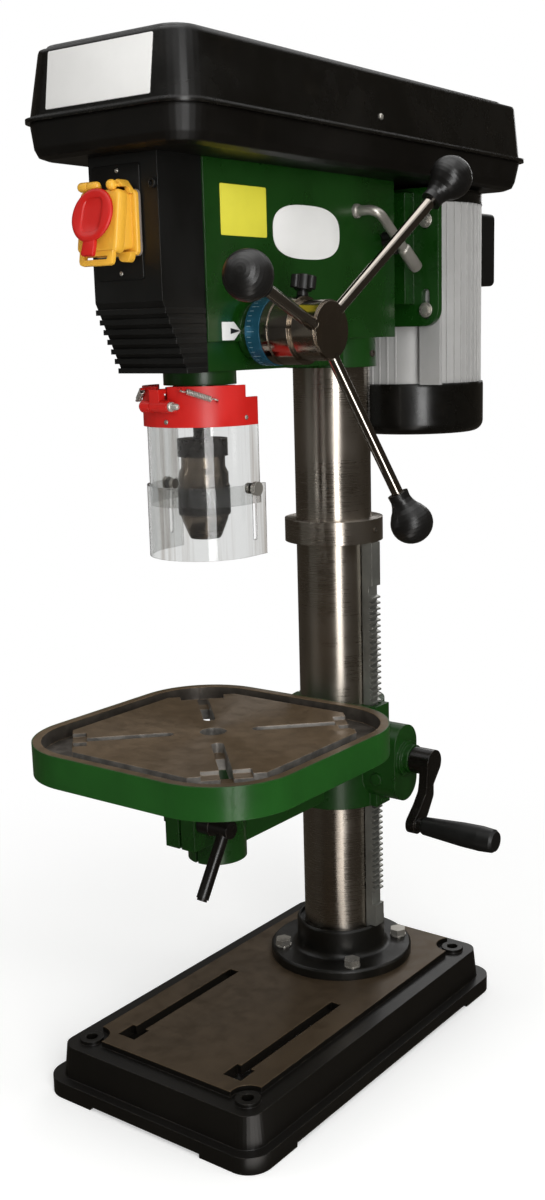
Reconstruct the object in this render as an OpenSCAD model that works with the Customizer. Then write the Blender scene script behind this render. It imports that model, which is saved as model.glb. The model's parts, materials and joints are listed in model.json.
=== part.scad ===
// Pillar drill: belt-driven head on a round column, tilting and lifting table, hollow cast base.
// Millimetres. +X is the feed handle side, +Y the rear and +Z up.
// The origin is the centre of the base's underside.

/* [Base] */
// Width of the base casting
base_w = 270; // [250:1:320]
// Length of the base casting
base_l = 450; // [436:1:520]
// Height of the outer flange of the base
base_flange_h = 17; // [12:1:24]
// Height of the tapered block of the base
base_h = 49; // [40:1:60]
// Height of the machined plate above the block
plate_h = 6; // [4:0.5:9]
// Wall of the hollow base
base_wall = 9; // [7:0.5:12]
// Thickness of the base's top
base_top = 10; // [9:0.5:14]
// Spacing of the mounting holes across the base
mount_w = 200; // [190:1:212]
// Spacing of the mounting holes along the base
mount_l = 376; // [362:1:388]
// Diameter of the mounting holes
mount_d = 12; // [8:0.5:14]
// Distance of each clamping slot from the centre line
base_slot_x = 68; // [58:1:74]
// Width of the clamping slots in the base
base_slot_w = 12; // [8:0.5:16]
// Length of the clamping slots in the base
base_slot_l = 173; // [120:1:180]

/* [Column] */
// Diameter of the column
column_d = 80; // [76:0.5:84]
// Wall of the column tube
column_wall = 6; // [4:0.5:10]
// Length of the column tube
column_l = 760; // [740:1:860]
// Distance from the base's centre to the column's axis
column_y = 110; // [100:1:125]
// Distance from the spindle's axis to the column's axis
throat = 210; // [206:1:216]
// Diameter of the column flange
flange_d = 158; // [150:1:170]
// Thickness of the column flange
flange_t = 11; // [8:0.5:14]
// Height of the column flange's collar
flange_collar_h = 32; // [24:1:40]
// Circle of the column flange bolts
flange_bolt_circle = 132; // [124:1:138]
// Thread diameter of the column flange bolts
flange_bolt_d = 10; // [8:0.5:12]
// Length of the rack between its two collars
rack_l = 427.4; // [420:0.1:450]
// Height of the ring collar above the rack
ring_h = 24; // [18:1:30]

/* [Table] */
// Width and length of the table
table_w = 290; // [280:1:292]
// Corner radius of the table
table_r = 78; // [70:1:90]
// Height of the table's edge
table_h = 31; // [28:1:36]
// Width of the table's edge
table_edge = 9; // [7:0.5:12]
// Half width of the machined plateau
plateau_half = 120; // [112:1:124]
// Width of the four diagonal slots
table_slot_w = 12; // [8:0.5:14]
// Diameter of the table's centre hole
table_hole_d = 26; // [20:0.5:30]
// Height of the column clamp
bracket_h = 111; // [108:1:113]
// Height of the column clamp's lower end at rest
bracket_z = 240; // [236:1:246]
// Wall of the column clamp
bracket_wall = 12; // [10:0.5:13]
// Diameter of the table stub and its clamp bore
stub_d = 44; // [40:0.5:46]
// Throw of the lifting crank
crank_throw = 66; // [50:1:68]
// Length of the crank's grip
grip_l = 85; // [70:1:95]

/* [Head] */
// Width of the head at the column
head_w = 94; // [94:1:104]
// Width of the head at its front
head_front_w = 81; // [78:1:90]
// Height of the head's side walls
head_h = 155; // [150:1:165]
// Wall of the head casting
head_wall = 7; // [6:0.5:8]
// Depth of the column in the head
socket_l = 109; // [100:1:112]
// Diameter of the quill
quill_d = 50; // [48:0.5:52]
// Length of the quill
quill_l = 160; // [152:1:164]
// Diameter of the spindle
spindle_d = 16; // [14:0.5:17]
// Teeth of the feed pinion
pinion_teeth = 13; // [12:1:14]

/* [Feed] */
// Diameter of the feed hub's cup
hub_d = 60; // [56:0.5:66]
// Diameter of the feed arms
arm_d = 11; // [9:0.5:13]
// Length of a feed arm from the hub's axis to its knob's centre
arm_l = 188; // [150:1:200]
// Angle of the feed arms away from the head
arm_rake = 18.5; // [10:0.5:25]
// Diameter of the feed knobs
knob_d = 39.5; // [34:0.5:46]

/* [Chuck and guard] */
// Diameter of the chuck sleeve
chuck_d = 48; // [42:0.5:54]
// Outer diameter of the guard collar
guard_d = 106; // [104:0.5:112]
// Wall of the clear shields
shield_t = 2; // [1.5:0.1:2.4]
// Travel of the lower shield
shield_travel = 45; // [30:1:46]
// Turns of each guard spring
spring_turns = 15; // [8:1:16]
// Wire radius of each guard spring
spring_wire = 0.5; // [0.4:0.05:0.55]

/* [Drive] */
// Width of the belt cover's lip
cover_w = 195.2; // [190:0.2:200]
// Length of the belt cover's lip
cover_l = 592.4; // [588:0.2:600]
// Height of the lid above the pan
lid_h = 58.4; // [56:0.4:72]
// Sheet thickness of the belt cover
cover_t = 3; // [2:0.25:4]
// Distance from the spindle's axis to the idler's axis
idler_y = 190; // [180:1:196]
// Height of one pulley step
step_h = 12; // [11:0.5:12]
// Width of the motor over its fins
motor_w = 154; // [140:1:160]
// Height of the finned motor housing
motor_h = 190; // [170:1:200]
// Distance from the column's axis to the motor's axis
motor_back = 166; // [162:1:176]
// Travel of the motor on its slide bars
motor_travel = 12; // [8:1:13]
// Diameter of the slide bars
slide_bar_d = 16; // [12:0.5:18]

/* [Hidden] */
$fn = 96;
// Running fit on a radius, and the clear gap between parts that pass each other
fit = 0.05;
gap = 0.3;
// Module of both racks and their pinions
gear_m = 2;
gear_pitch = PI * gear_m;
plate_z = base_h + plate_h;
column_r = column_d / 2;
spindle_y = column_y - throat;
head_z = plate_z + column_l - socket_l;
ring_z = plate_z + flange_t + flange_collar_h + gap + rack_l + gap;
bracket_r = column_r + bracket_wall;
// Rack section, measured from the column's axis
rack_back = column_r + gap;
rack_pitch_x = column_r + 11;
rack_w = 16;
rack_tongue = 4.7;
lift_teeth = 14;
lift_r = lift_teeth * gear_m / 2;
lift_x = rack_pitch_x + lift_r;
lift_z = 35;
boss_end = lift_x + 34;
worm_r = 5.7;
worm_z = lift_z + lift_r + gear_m + gap + worm_r;
tilt_z = 48;
arm_face = bracket_r + 4;
stub_r = stub_d / 2;
boss_r = stub_r + 7;
table_z = 97;
pinion_r = pinion_teeth * gear_m / 2;
quill_r = quill_d / 2;
quill_pitch = quill_r - 3;
feed_y = quill_pitch + pinion_r;
feed_z = 37;
quill_z = -26;
nose_z = -9;
guide_r = quill_r + 8.5;
guide_top = quill_z + quill_l + 24;
pan_z = 29 + head_h;
pan_h = 30;
lid_z = pan_z + pan_h;
cover_y = cover_l / 2 - 121.4;
pulley_z = pan_z + 8;
pulley_h = 4 * step_h;
hinge_x = -cover_w / 2 - 5.3;
hinge_z = lid_z + 2;
motor_y = throat + motor_back;
motor_z = -22;
plate_back = motor_y - motor_w / 2 - 1;
bar_z = socket_l + slide_bar_d / 2 + 9;
bar_x = 27;
guard_r = guard_d / 2;
shield_r = guard_r - 3.1;
flip_y = -guard_r - 6;
flip_z = -26;
hub_x = 50;
cup_x = 66;
hub_end = 124;
arm_x = 111;
spindle_steps = [34, 42, 50, 58];
idler_steps = [58, 50, 42, 34];
motor_steps = [24, 32, 40, 48];

// Box between two corners
module bx(x0, x1, y0, y1, z0, z1) translate([x0, y0, z0]) cube([x1 - x0, y1 - y0, z1 - z0]);

// Cylinders along each axis
module cz(r, z0, z1, x = 0, y = 0) translate([x, y, z0]) cylinder(h = z1 - z0, r = r);
module cx(r, x0, x1, y, z) translate([x0, y, z]) rotate([0, 90, 0]) cylinder(h = x1 - x0, r = r);
module cy(r, y0, y1, x, z) translate([x, y1, z]) rotate([90, 0, 0]) cylinder(h = y1 - y0, r = r);

// Rounded rectangle, and the same as a plate between two heights
module rrect(w, l, r, n = 96) {
    square([w - 2 * r, l], center = true);
    square([w, l - 2 * r], center = true);
    for (sx = [-1, 1]) for (sy = [-1, 1])
        translate([sx * (w / 2 - r), sy * (l / 2 - r)]) circle(r = r, $fn = n);
}
module rbox(w, l, z0, z1, r, y = 0, x = 0, n = 96)
    translate([x, y, z0]) linear_extrude(z1 - z0) rrect(w, l, r, n);

// Round bar between two points
module rod(p, q, r) {
    d = q - p;
    translate(p) rotate([0, acos(d[2] / norm(d)), atan2(d[1], d[0])]) cylinder(h = norm(d), r = r);
}

// Hexagon of a width across flats, along +Z
module hexagon(af, z0, z1, x = 0, y = 0)
    translate([x, y, z0]) cylinder(h = z1 - z0, r = af / 2 / cos(30), $fn = 6);

// Involute gear with a little play, a tooth pointing along +X
function involute(a) = tan(a) - a * PI / 180;
function tooth_half(r, n) = let (rb = n * gear_m / 2 * cos(20), a = acos(min(1, rb / r)))
    90 / n + (involute(20) - involute(a) - 0.16 / r) * 180 / PI;
function gear_radii(n) = let (rp = n * gear_m / 2, rb = rp * cos(20))
    [rp - 1.2 * gear_m, rb, rp, rp + 0.5 * gear_m, rp + 0.95 * gear_m];
function polar(r, a) = [r * cos(a), r * sin(a)];
module gear2d(n) {
    radii = gear_radii(n);
    polygon([for (k = [0:n - 1]) for (s = [-1, 1]) for (j = [0:4])
        let (i = s < 0 ? j : 4 - j, r = radii[i], cut = i == 0 ? 1.2 : 0)
        polar(r, 360 / n * k + s * (tooth_half(r, n) - cut))]);
}

// Rack tooth outline, height along +X from the pitch line, centred on Y = 0
module rack_tooth2d() {
    h = gear_pitch / 4 - 0.05;
    polygon([[-1.25 * gear_m, -h - 1.25 * gear_m * tan(20)], [0.9 * gear_m, -h + 0.9 * gear_m * tan(20)],
        [0.9 * gear_m, h - 0.9 * gear_m * tan(20)], [-1.25 * gear_m, h + 1.25 * gear_m * tan(20)]]);
}

// Frames: the head's origin is the spindle's axis at the head's lower end, and the
// table bracket's origin is the column's axis at the clamp's lower end
module in_head() translate([0, spindle_y, head_z]) children();
module in_table() translate([0, column_y, bracket_z]) children();

// BASE AND COLUMN

module base() color([0.1, 0.1, 0.1]) difference() {
    union() {
        rbox(base_w, base_l, 0, base_flange_h, 25);
        hull() {
            rbox(base_w - 20, base_l - 20, base_flange_h - 1, base_flange_h, 20, n = 32);
            rbox(base_w - 27, base_l - 28, base_h - 1, base_h, 16, n = 32);
        }
        difference() {
            bx(-mount_w / 2 - 2, mount_w / 2 + 2, -mount_l / 2 - 4, mount_l / 2 + 12, base_h - 1, plate_z);
            for (sx = [-1, 1]) for (sy = [-1, 1])
                cz(18, base_h, plate_z + 1, sx * mount_w / 2, sy * mount_l / 2);
        }
        for (sx = [-1, 1]) for (sy = [-1, 1])
            cz(12, 10, base_h + 4, sx * mount_w / 2, sy * mount_l / 2);
    }
    // Hollow underside, with a pillar at each mounting hole and a pad under the column
    difference() {
        rbox(base_w - 27 - 2 * base_wall, base_l - 28 - 2 * base_wall, -1, plate_z - base_top, 12);
        for (sx = [-1, 1]) for (sy = [-1, 1])
            cz(15.5, -2, plate_z, sx * mount_w / 2, sy * mount_l / 2);
        cz(flange_bolt_circle / 2 + 8, plate_z - base_top - 12, plate_z, 0, column_y);
    }
    // Arches between the corner feet
    bx(-base_w / 2 + 65, base_w / 2 - 65, -base_l, base_l, -1, 4);
    bx(-base_w, base_w, -base_l / 2 + 65, base_l / 2 - 65, -1, 4);
    for (sx = [-1, 1]) for (sy = [-1, 1])
        cz(mount_d / 2, -1, plate_z + 1, sx * mount_w / 2, sy * mount_l / 2);
    for (sx = [-1, 1]) {
        bx(sx * base_slot_x - base_slot_w / 2, sx * base_slot_x + base_slot_w / 2,
            1 - base_slot_l, 1, base_flange_h, plate_z + 1);
        bx(sx * base_slot_x - base_slot_w / 2 - 5, sx * base_slot_x + base_slot_w / 2 + 5,
            1 - base_slot_l, 23 - base_slot_l, base_flange_h, plate_z + 1);
    }
    for (a = [45:90:315])
        cz(flange_bolt_d / 2 + fit, 20, plate_z + 1, flange_bolt_circle / 2 * cos(a),
            column_y + flange_bolt_circle / 2 * sin(a));
}

module column_flange() color([0.1, 0.1, 0.1]) translate([0, column_y, plate_z]) difference() {
    rotate_extrude() polygon(concat(
        [[column_r + fit, 0], [flange_d / 2, 0], [flange_d / 2, flange_t - 2], [flange_d / 2 - 2, flange_t]],
        [for (a = [270:-15:180]) [column_r + 15 + 6 * cos(a), flange_t + 6 + 6 * sin(a)]],
        [[column_r + 9, flange_t + flange_collar_h - 2], [column_r + 7, flange_t + flange_collar_h],
        [column_r + 6, flange_t + flange_collar_h], [column_r + 6, flange_t + flange_collar_h - 5],
        [column_r + fit, flange_t + flange_collar_h - 5]]));
    for (a = [45:90:315])
        cz(flange_bolt_d / 2 + fit, -1, flange_t + 1, flange_bolt_circle / 2 * cos(a),
            flange_bolt_circle / 2 * sin(a));
}

module flange_bolts() color([0.75, 0.76, 0.78]) translate([0, column_y, plate_z + flange_t])
    for (a = [45:90:315]) translate(flange_bolt_circle / 2 * [cos(a), sin(a), 0]) {
        cz(flange_bolt_d / 2, -flange_t - 26, 1);
        cz(flange_bolt_d - 1, 0, 1.6);
        hexagon(flange_bolt_d * 1.7 - 1, 1.6, 8);
    }

module column() color([0.72, 0.72, 0.74]) difference() {
    cz(column_r, plate_z, plate_z + column_l, 0, column_y);
    cz(column_r - column_wall, plate_z - 1, plate_z + column_l + 1, 0, column_y);
}

module ring_collar() color([0.72, 0.72, 0.74]) translate([0, column_y, ring_z]) difference() {
    cz(bracket_r, 0, ring_h);
    cz(column_r + fit, -1, ring_h + 1);
    cz(column_r + 6, -1, 5);
}

module rack() color([0.6, 0.6, 0.62]) translate([0, column_y, 0]) {
    z0 = plate_z + flange_t + flange_collar_h + gap;
    bx(rack_back, rack_pitch_x - 1.2 * gear_m, -rack_w / 2, rack_w / 2, z0, z0 + rack_l);
    bx(rack_back, rack_back + rack_tongue, -rack_w / 2, rack_w / 2, z0 - 4, z0 + rack_l + 4);
    bx(rack_back, rack_pitch_x + 1.8, -rack_w / 2, rack_w / 2, z0, z0 + 24);
    bx(rack_back, rack_pitch_x + 1.8, -rack_w / 2, rack_w / 2, z0 + rack_l - 46, z0 + rack_l);
    translate([rack_pitch_x, rack_w / 2, 0]) rotate([90, 0, 0]) linear_extrude(rack_w)
        for (k = [-22:30]) translate([0, bracket_z + lift_z + (k + 0.5) * gear_pitch]) rack_tooth2d();
}

// TABLE

module table_bracket() color([0.05, 0.3, 0.1]) in_table() difference() {
    union() {
        cz(bracket_r, 0, bracket_h);
        // Gear housing with the crank's boss
        bx(40, lift_x + 23, -22, 22, lift_z - 3, lift_z + 36);
        cx(22, 40, lift_x + 23, 0, lift_z - 3);
        cx(22, 40, lift_x + 23, 0, lift_z + 36);
        cx(19, lift_x + 20, lift_x + 27, 0, worm_z);
        cx(15.5, lift_x + 20, boss_end, 0, worm_z);
        // Flat rib up the rack's channel
        bx(40, rack_pitch_x + 8, -13, 13, 0, bracket_h);
        // Tilt boss
        cy(30, -arm_face, -30, 0, tilt_z);
        // Lugs of the column clamp
        bx(-bracket_r - 24, -40, -15, 15, 40, 84);
    }
    cz(column_r + fit, -1, bracket_h + 1);
    bx(column_r - 2, rack_pitch_x + 2.4, -rack_w / 2 - gap, rack_w / 2 + gap, -1, bracket_h + 1);
    bx(-bracket_r - 25, -30, -1.5, 1.5, -1, bracket_h + 1);
    cy(5 + fit, -20, 20, -bracket_r - 12, 62);
    cy(lift_r + gear_m + 0.6, -7.6, 7.6, lift_x, lift_z);
    cx(worm_r + 2, rack_pitch_x, lift_x + 16, 0, worm_z);
    cx(7 + fit, lift_x + 10, lift_x + 40, 0, worm_z);
    cy(5 + fit, -30, 30, lift_x, lift_z);
    cy(8 + fit, -arm_face - 1, -column_r - 1, 0, tilt_z);
}

module bracket_bolts() color([0.55, 0.56, 0.58]) in_table() {
    cy(5, -22, 22, lift_x, lift_z);
    cy(6.5, -24.5, -22, lift_x, lift_z);
    cy(8, -arm_face - 13, -column_r - 2, 0, tilt_z);
    translate([0, -arm_face - 12, tilt_z]) rotate([90, 0, 0]) hexagon(24, 0, 9);
}

module worm_shaft() color([0.5, 0.5, 0.52]) in_table() {
    x0 = rack_pitch_x + 3;
    difference() {
        cx(worm_r, x0, lift_x + 14, 0, worm_z);
        for (i = [0:2])
            translate([x0 + 4 + i * gear_pitch, 0, worm_z]) rotate([0, 90, 0]) difference() {
                cylinder(h = 3, r = worm_r + 1);
                cylinder(h = 3, r = worm_r - 1.6);
            }
    }
    cx(7, lift_x + 14, boss_end, 0, worm_z);
    cx(6, boss_end, boss_end + 20, 0, worm_z);
}

module lift_gear() color([0.5, 0.5, 0.52]) in_table() difference() {
    translate([lift_x, 7, lift_z]) rotate([90, 0, 0]) linear_extrude(14)
        rotate(180) gear2d(lift_teeth);
    cy(5 + fit, -10, 10, lift_x, lift_z);
}

crank_x = boss_end + gap;
crank_dy = -crank_throw * sin(20.4);
crank_dz = -crank_throw * cos(20.4);
// Centre and radius of each round of the bent arm, for a throw of 66 mm
crank_bend = [[0, 0, 13.9], [-6, -21, 7], [-5, -34, 8.5], [-13, -49, 9.5], [-23, -61.9, 10]];
module crank_arm() color([0.08, 0.07, 0.07]) in_table() translate([0, 0, worm_z]) {
    difference() {
        union() {
            cx(14, crank_x, crank_x + 24, 0, 0);
            for (i = [0:3]) hull() for (k = [i, i + 1]) let (c = crank_bend[k], s = crank_throw / 66)
                translate([crank_x + 14 - 1.5 * k, c[0] * s, c[1] * s]) rotate([0, 90, 0])
                    cylinder(h = 10, r = c[2], $fn = 32);
        }
        cx(6 + fit, crank_x - 1, crank_x + 20, 0, 0);
    }
    // Grip spindle with its ferrule
    cx(7.5, crank_x + 17, crank_x + 24, crank_dy, crank_dz);
    cx(4, crank_x + 17, crank_x + 24 + grip_l - 6, crank_dy, crank_dz);
}

module crank_grip() color([0.08, 0.07, 0.07]) in_table()
    translate([crank_x + 24 + gap, crank_dy, worm_z + crank_dz]) rotate([0, 90, 0]) rotate_extrude()
        polygon([[4 + fit, 0], [8.5, 0], [9.5, 2], [12.5, grip_l * 0.55], [13, grip_l * 0.8],
            [12, grip_l - 3], [10, grip_l], [0, grip_l], [0, grip_l - 5], [4 + fit, grip_l - 5]]);

module column_lock_lever() color([0.12, 0.12, 0.12]) in_table() translate([-bracket_r - 12, 0, 62]) {
    cy(5, -19, 24, 0, 0);
    translate([0, -15 - gap, 0]) rotate([90, 0, 0]) hexagon(16, 0, 6);
    cy(10, 15 + gap, 30, 0, 0);
    rod([0, 24, 0], [-22, 30, -52], 5);
    translate([-22, 30, -52]) sphere(r = 9, $fn = 48);
}

module table_arm() color([0.05, 0.3, 0.1]) in_table() difference() {
    union() {
        cy(32, -arm_face - 12, -arm_face, 0, tilt_z);
        bx(-24, 24, -throat + 10, -arm_face - 5, 14, 76);
        cz(boss_r, 0, table_z, 0, -throat);
        // Split lugs of the table clamp
        bx(-20, 16, -throat - 52, -throat, 22, 60);
    }
    // The arm is open below, round the tilt bolt's head
    bx(-17, 17, -throat + boss_r + 3, -arm_face - 12, -1, 69);
    cz(stub_r + fit, -1, table_z + 1, 0, -throat);
    bx(-3.5, -0.5, -throat - 53, -throat, 21, 61);
    bx(-3.5, -0.5, -throat - boss_r - 1, -throat, -1, table_z + 1);
    cx(5 + fit, -21, 17, -throat - 40, tilt_z);
    cy(8 + fit, -arm_face - 13, -arm_face + 1, 0, tilt_z);
}

module table_lock_lever() color([0.1, 0.1, 0.1]) in_table() translate([0, -throat - 40, tilt_z]) {
    cx(5, -26, 40, 0, 0);
    translate([-20 - gap, 0, 0]) rotate([0, -90, 0]) hexagon(14, 0, 6);
    cx(9.5, 16 + gap, 30, 0, 0);
    cx(8.5, 30, 52, 0, 0);
    rod([44, 0, 0], [44, -36, -57], 6);
    rod([44, -20, -31.67], [44, -37.1, -58.75], 4.8);
}

module table() color([0.3, 0.26, 0.22]) in_table() translate([0, -throat, table_z]) difference() {
    half = plateau_half;
    union() {
        difference() {
            rbox(table_w, table_w, 0, table_h, table_r);
            rbox(table_w - 2 * table_edge, table_w - 2 * table_edge, 17, table_h + 1, table_r - table_edge);
            rbox(table_w - 2 * table_edge, table_w - 2 * table_edge, -1, 8, table_r - table_edge);
        }
        translate([0, 0, 16]) linear_extrude(table_h - 18)
            polygon([for (p = [[1, 0.583], [0.583, 1], [-0.583, 1], [-1, 0.583], [-1, -0.583],
                [-0.583, -1], [0.583, -1], [1, -0.583]]) p * half]);
        // Ribs, centre boss and stub below
        for (a = [0, 90]) rotate(a) bx(-table_w / 2 + 5, table_w / 2 - 5, -4, 4, 1, 9);
        cz(boss_r + 6, 0, 10);
        cz(stub_r, -95, 1);
    }
    cz(table_hole_d / 2, -96, table_h + 1);
    for (a = [45:90:315]) rotate(a) {
        // The slot is shorter below, and steps down where it meets the gutter
        bx(44, 140, -table_slot_w / 2, table_slot_w / 2, 19, table_h + 1);
        cz(table_slot_w / 2, 19, table_h + 1, 44);
        bx(57, 116, -table_slot_w / 2, table_slot_w / 2, -1, 20);
        bx(121, 140, -23, 23, table_h - 6, table_h + 1);
    }
}

// HEAD

module head_casting() color([0.05, 0.3, 0.1]) in_head() difference() {
    hf = head_front_w / 2;
    hw = head_w / 2;
    w = head_wall;
    rear = throat + 50;
    flare = throat - 28;
    union() {
        difference() {
            union() {
                translate([0, 0, 29]) linear_extrude(head_h)
                    polygon([[-hf, -34], [hf, -34], [hw, flare], [hw, rear], [-hw, rear], [-hw, flare]]);
                bx(-hf + 4.5, hf - 4.5, -34, flare, 3, 30);
            }
            translate([0, 0, 29 + w]) linear_extrude(head_h)
                polygon([[-hf + w, -34 + w], [hf - w, -34 + w], [hw - w, flare], [hw - w, rear - w],
                    [-hw + w, rear - w], [-hw + w, flare]]);
            bx(-hf + w + 4.5, hf - w - 4.5, -34 + w, throat - 47, 3 + w, 31 + w);
        }
        // Quill guide, column socket and the boss of the feed shaft
        cz(guide_r, nose_z, guide_top);
        cz(column_r + 7, 0, socket_l, 0, throat);
        cx(hub_d / 2 - 4, hf - 2, hub_x, feed_y, feed_z);
        cx(hub_d / 2 - 4, -hf - 5.5, -hf + 2, feed_y, feed_z);
        // Web that carries the slide bars
        bx(-hw + 2, hw - 2, throat - 60, throat - 50, 29, bar_z + 14);
    }
    cz(quill_r + fit, nose_z - 1, guide_top - 10);
    cz(14 + fit, guide_top - 12, guide_top + 1);
    cz(column_r + fit, -1, socket_l + 1, 0, throat);
    cx(pinion_r + gear_m + 1.5, -10, 10, feed_y, feed_z);
    cx(9 + fit, -60, 60, feed_y, feed_z);
    for (s = [-1, 1]) cy(slide_bar_d / 2 + fit, throat - 61, rear + 1, s * bar_x, bar_z);
    cx(7 + fit, -60, 60, throat - 20, bar_z + 25);
    cx(4 + fit, bar_x, 60, throat + 32, bar_z - 2);
}

// Louvred front cover: a step of each rib out, then back under it
rib_n = 7;
rib_pitch = 8.4;
module front_cover() color([0.04, 0.04, 0.04]) in_head() {
    hf = head_front_w / 2;
    top = pan_z;
    front = -90;
    bend = 3 + rib_n * rib_pitch;
    slope = 30 / bend;
    difference() {
        union() {
            translate([hf - 1.5, 0, 0]) rotate([0, -90, 0]) linear_extrude(head_front_w - 3)
                polygon([[3, -34], [top, -34], [top, front], [bend + 2, front], [3, front + 30]]);
            // Ribs, from side to side
            for (i = [0:rib_n - 1]) {
                z = bend - (i + 1) * rib_pitch;
                y = front + (bend - z) * slope;
                translate([hf, 0, 0]) rotate([0, -90, 0]) linear_extrude(head_front_w)
                    polygon([[z, -36], [z + 4.6, -36], [z + 4.6, y - 2.6], [z, y - 2.6]]);
            }
        }
        translate([hf - 4, 0, 0]) rotate([0, -90, 0]) linear_extrude(head_front_w - 8)
            polygon([[5.5, -33], [top - 3, -33], [top - 3, front + 3], [bend + 2, front + 3], [5.5, front + 33]]);
    }
}

flap_y = -22;
flap_z = 157.5;
// The flap stands a little open
module flap_pose() in_head() translate([-6.5, -90 + flap_y, flap_z]) rotate([-12, 0, 0])
    translate([0, -flap_y, -flap_z]) children();

module switch_housing() color([0.95, 0.75, 0.05]) in_head() translate([-6.5, -90, 0]) difference() {
    union() {
        rotate([90, 0, 0]) rbox(46, 50, 0, 20, 4, 128);
        rotate([90, 0, 0]) rbox(52, 54, 0, 9, 5, 128);
        for (s = [-1, 1]) {
            cx(4.2, s * 17 - 6, s * 17 + 6, flap_y, flap_z);
            bx(s * 17 - 6, s * 17 + 6, flap_y - 2, -12, 152.5, flap_z);
        }
        bx(6, 19, -16, -6, 96, 104);
    }
    bx(-19, 19, -21, -14, 107, 149);
    for (s = [-1, 1]) cy(7.6, -15, -5, s * 10, 130);
    for (s = [-1, 1]) cy(4 + gap, -6, -1.7, s * 10, 130);
    cx(1.5 + fit, -24, 24, flap_y, flap_z);
}

module switch_flap() color([0.95, 0.75, 0.05]) flap_pose() {
    difference() {
        union() {
            rotate([90, 0, 0]) rbox(46, 48, 20 + gap, 24, 4, 127);
            bx(-19, 19, -27, -20 - gap, 92, 104);
        }
        bx(-13, 13, -28, -20, 95, 99);
    }
    cx(1.5, -22, 22, flap_y, flap_z);
    difference() {
        union() {
            cx(3.6, -10.6, 10.6, flap_y, flap_z);
            bx(-10.6, 10.6, -24, -20 - gap, 149, flap_z);
        }
        cx(1.4, -12, 12, flap_y, flap_z);
    }
}

module stop_paddle() color([0.8, 0.1, 0.08]) flap_pose() {
    cy(22, -30.5, -26.5, 0, 132);
    cy(7, -27, -24, 0, 132);
    bx(-7, 7, -30.5, -27, 98, 118);
    cy(13, -32.5, -30, 0, 133);
}

module on_button() color([0.1, 0.5, 0.15]) in_head() translate([-6.5, -90, 0]) {
    cy(7.5, -17.5, -9, -10, 130);
    cy(4, -9.5, -5.2, -10, 130);
}

module off_button() color([0.75, 0.1, 0.08]) in_head() translate([-6.5, -90, 0]) {
    cy(7.5, -17.5, -9, 10, 130);
    cy(4, -9.5, -5.2, 10, 130);
}

// BELT COVER

// The pan's body, or its hollow when set in by the sheet's thickness
module pan_body(t) hull() {
    w = cover_w - 2 * t;
    l = cover_l - 2 * t;
    rbox(w - 31.8, l - 38, pan_z + t, pan_z + t + 1, 18 - t, cover_y - 3.5, n = 32);
    rbox(w - 17.8, l - 24, pan_z + 2.5 + t, pan_z + 3 + t, 24 - t, cover_y - 3.5, n = 32);
    rbox(w - 11.8, l - 18, pan_z + 9, pan_z + 10, 26 - t, cover_y - 3.5, n = 32);
    rbox(w - 7.2, l - 10, lid_z - 3, lid_z + min(t, 1), 28 - t, cover_y - 1.6, n = 32);
}

module belt_pan() color([0.03, 0.03, 0.03]) in_head() difference() {
    t = cover_t;
    pan_body(0);
    pan_body(t);
    cz(20, pan_z - 1, pan_z + t + 1);
    cz(7 + fit, pan_z - 1, pan_z + t + 1, 0, idler_y);
    for (d = [0, motor_travel]) cz(14, pan_z - 1, pan_z + t + 1, 0, motor_y - d);
    bx(-14, 14, motor_y - motor_travel, motor_y, pan_z - 1, pan_z + t + 1);
}

hinge_rows = [60, 300];
module pan_hinges() color([0.3, 0.3, 0.3]) in_head() for (y = hinge_rows) {
    difference() {
        union() {
            cy(4.5, y, y + 14, hinge_x, hinge_z);
            bx(hinge_x - 2, -cover_w / 2 + 9, y, y + 14, lid_z - 6, lid_z - 1);
            bx(hinge_x - 2, hinge_x + 2, y, y + 14, lid_z - 6, hinge_z);
        }
        cy(2 + fit, y - 1, y + 15, hinge_x, hinge_z);
        pan_body(0);
    }
    cy(2, y - 12, y + 16, hinge_x, hinge_z);
}

module lid() color([0.03, 0.03, 0.03]) in_head() difference() {
    t = cover_t;
    top = lid_z + lid_h;
    union() {
        rbox(cover_w, cover_l, lid_z, lid_z + 3.4, 30, cover_y);
        hull() {
            rbox(cover_w - 7.2, cover_l - 10, lid_z, lid_z + 3, 28, cover_y - 1.6, n = 32);
            rbox(cover_w - 21, cover_l - 17.4, top - 3, top - 2.6, 27, cover_y + 2.4, n = 32);
            rbox(cover_w - 22.8, cover_l - 19.2, top - 1, top - 0.6, 26, cover_y + 2.4, n = 32);
            rbox(cover_w - 27, cover_l - 23.4, top - 0.4, top, 24, cover_y + 2.4, n = 32);
        }
        // Raised panel
        hull() {
            rbox(cover_w - 35, cover_l - 46, top - 1, top + 1, 21, cover_y - 6, n = 24);
            rbox(cover_w - 38, cover_l - 49, top + 2.5, top + 3, 20, cover_y - 6, n = 24);
        }
        for (y = hinge_rows) {
            cy(4.5, y - 12, y - gap, hinge_x, hinge_z);
            bx(hinge_x, -cover_w / 2 + 4, y - 12, y - gap, lid_z + gap, lid_z + 3.4);
        }
    }
    hull() {
        rbox(cover_w - 7.2 - 2 * t, cover_l - 10 - 2 * t, lid_z - 1, lid_z + 3, 28 - t, cover_y - 1.6, n = 32);
        rbox(cover_w - 21 - 2 * t, cover_l - 17.4 - 2 * t, top - 4, top - 3.4, 27 - t, cover_y + 2.4, n = 32);
        rbox(cover_w - 27 - 2 * t, cover_l - 23.4 - 2 * t, top - t - 1, top - t, 24 - t, cover_y + 2.4, n = 32);
    }
    for (y = hinge_rows) cy(2 + fit, y - 13, y, hinge_x, hinge_z);
}

// QUILL, SPINDLE AND CHUCK

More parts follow.
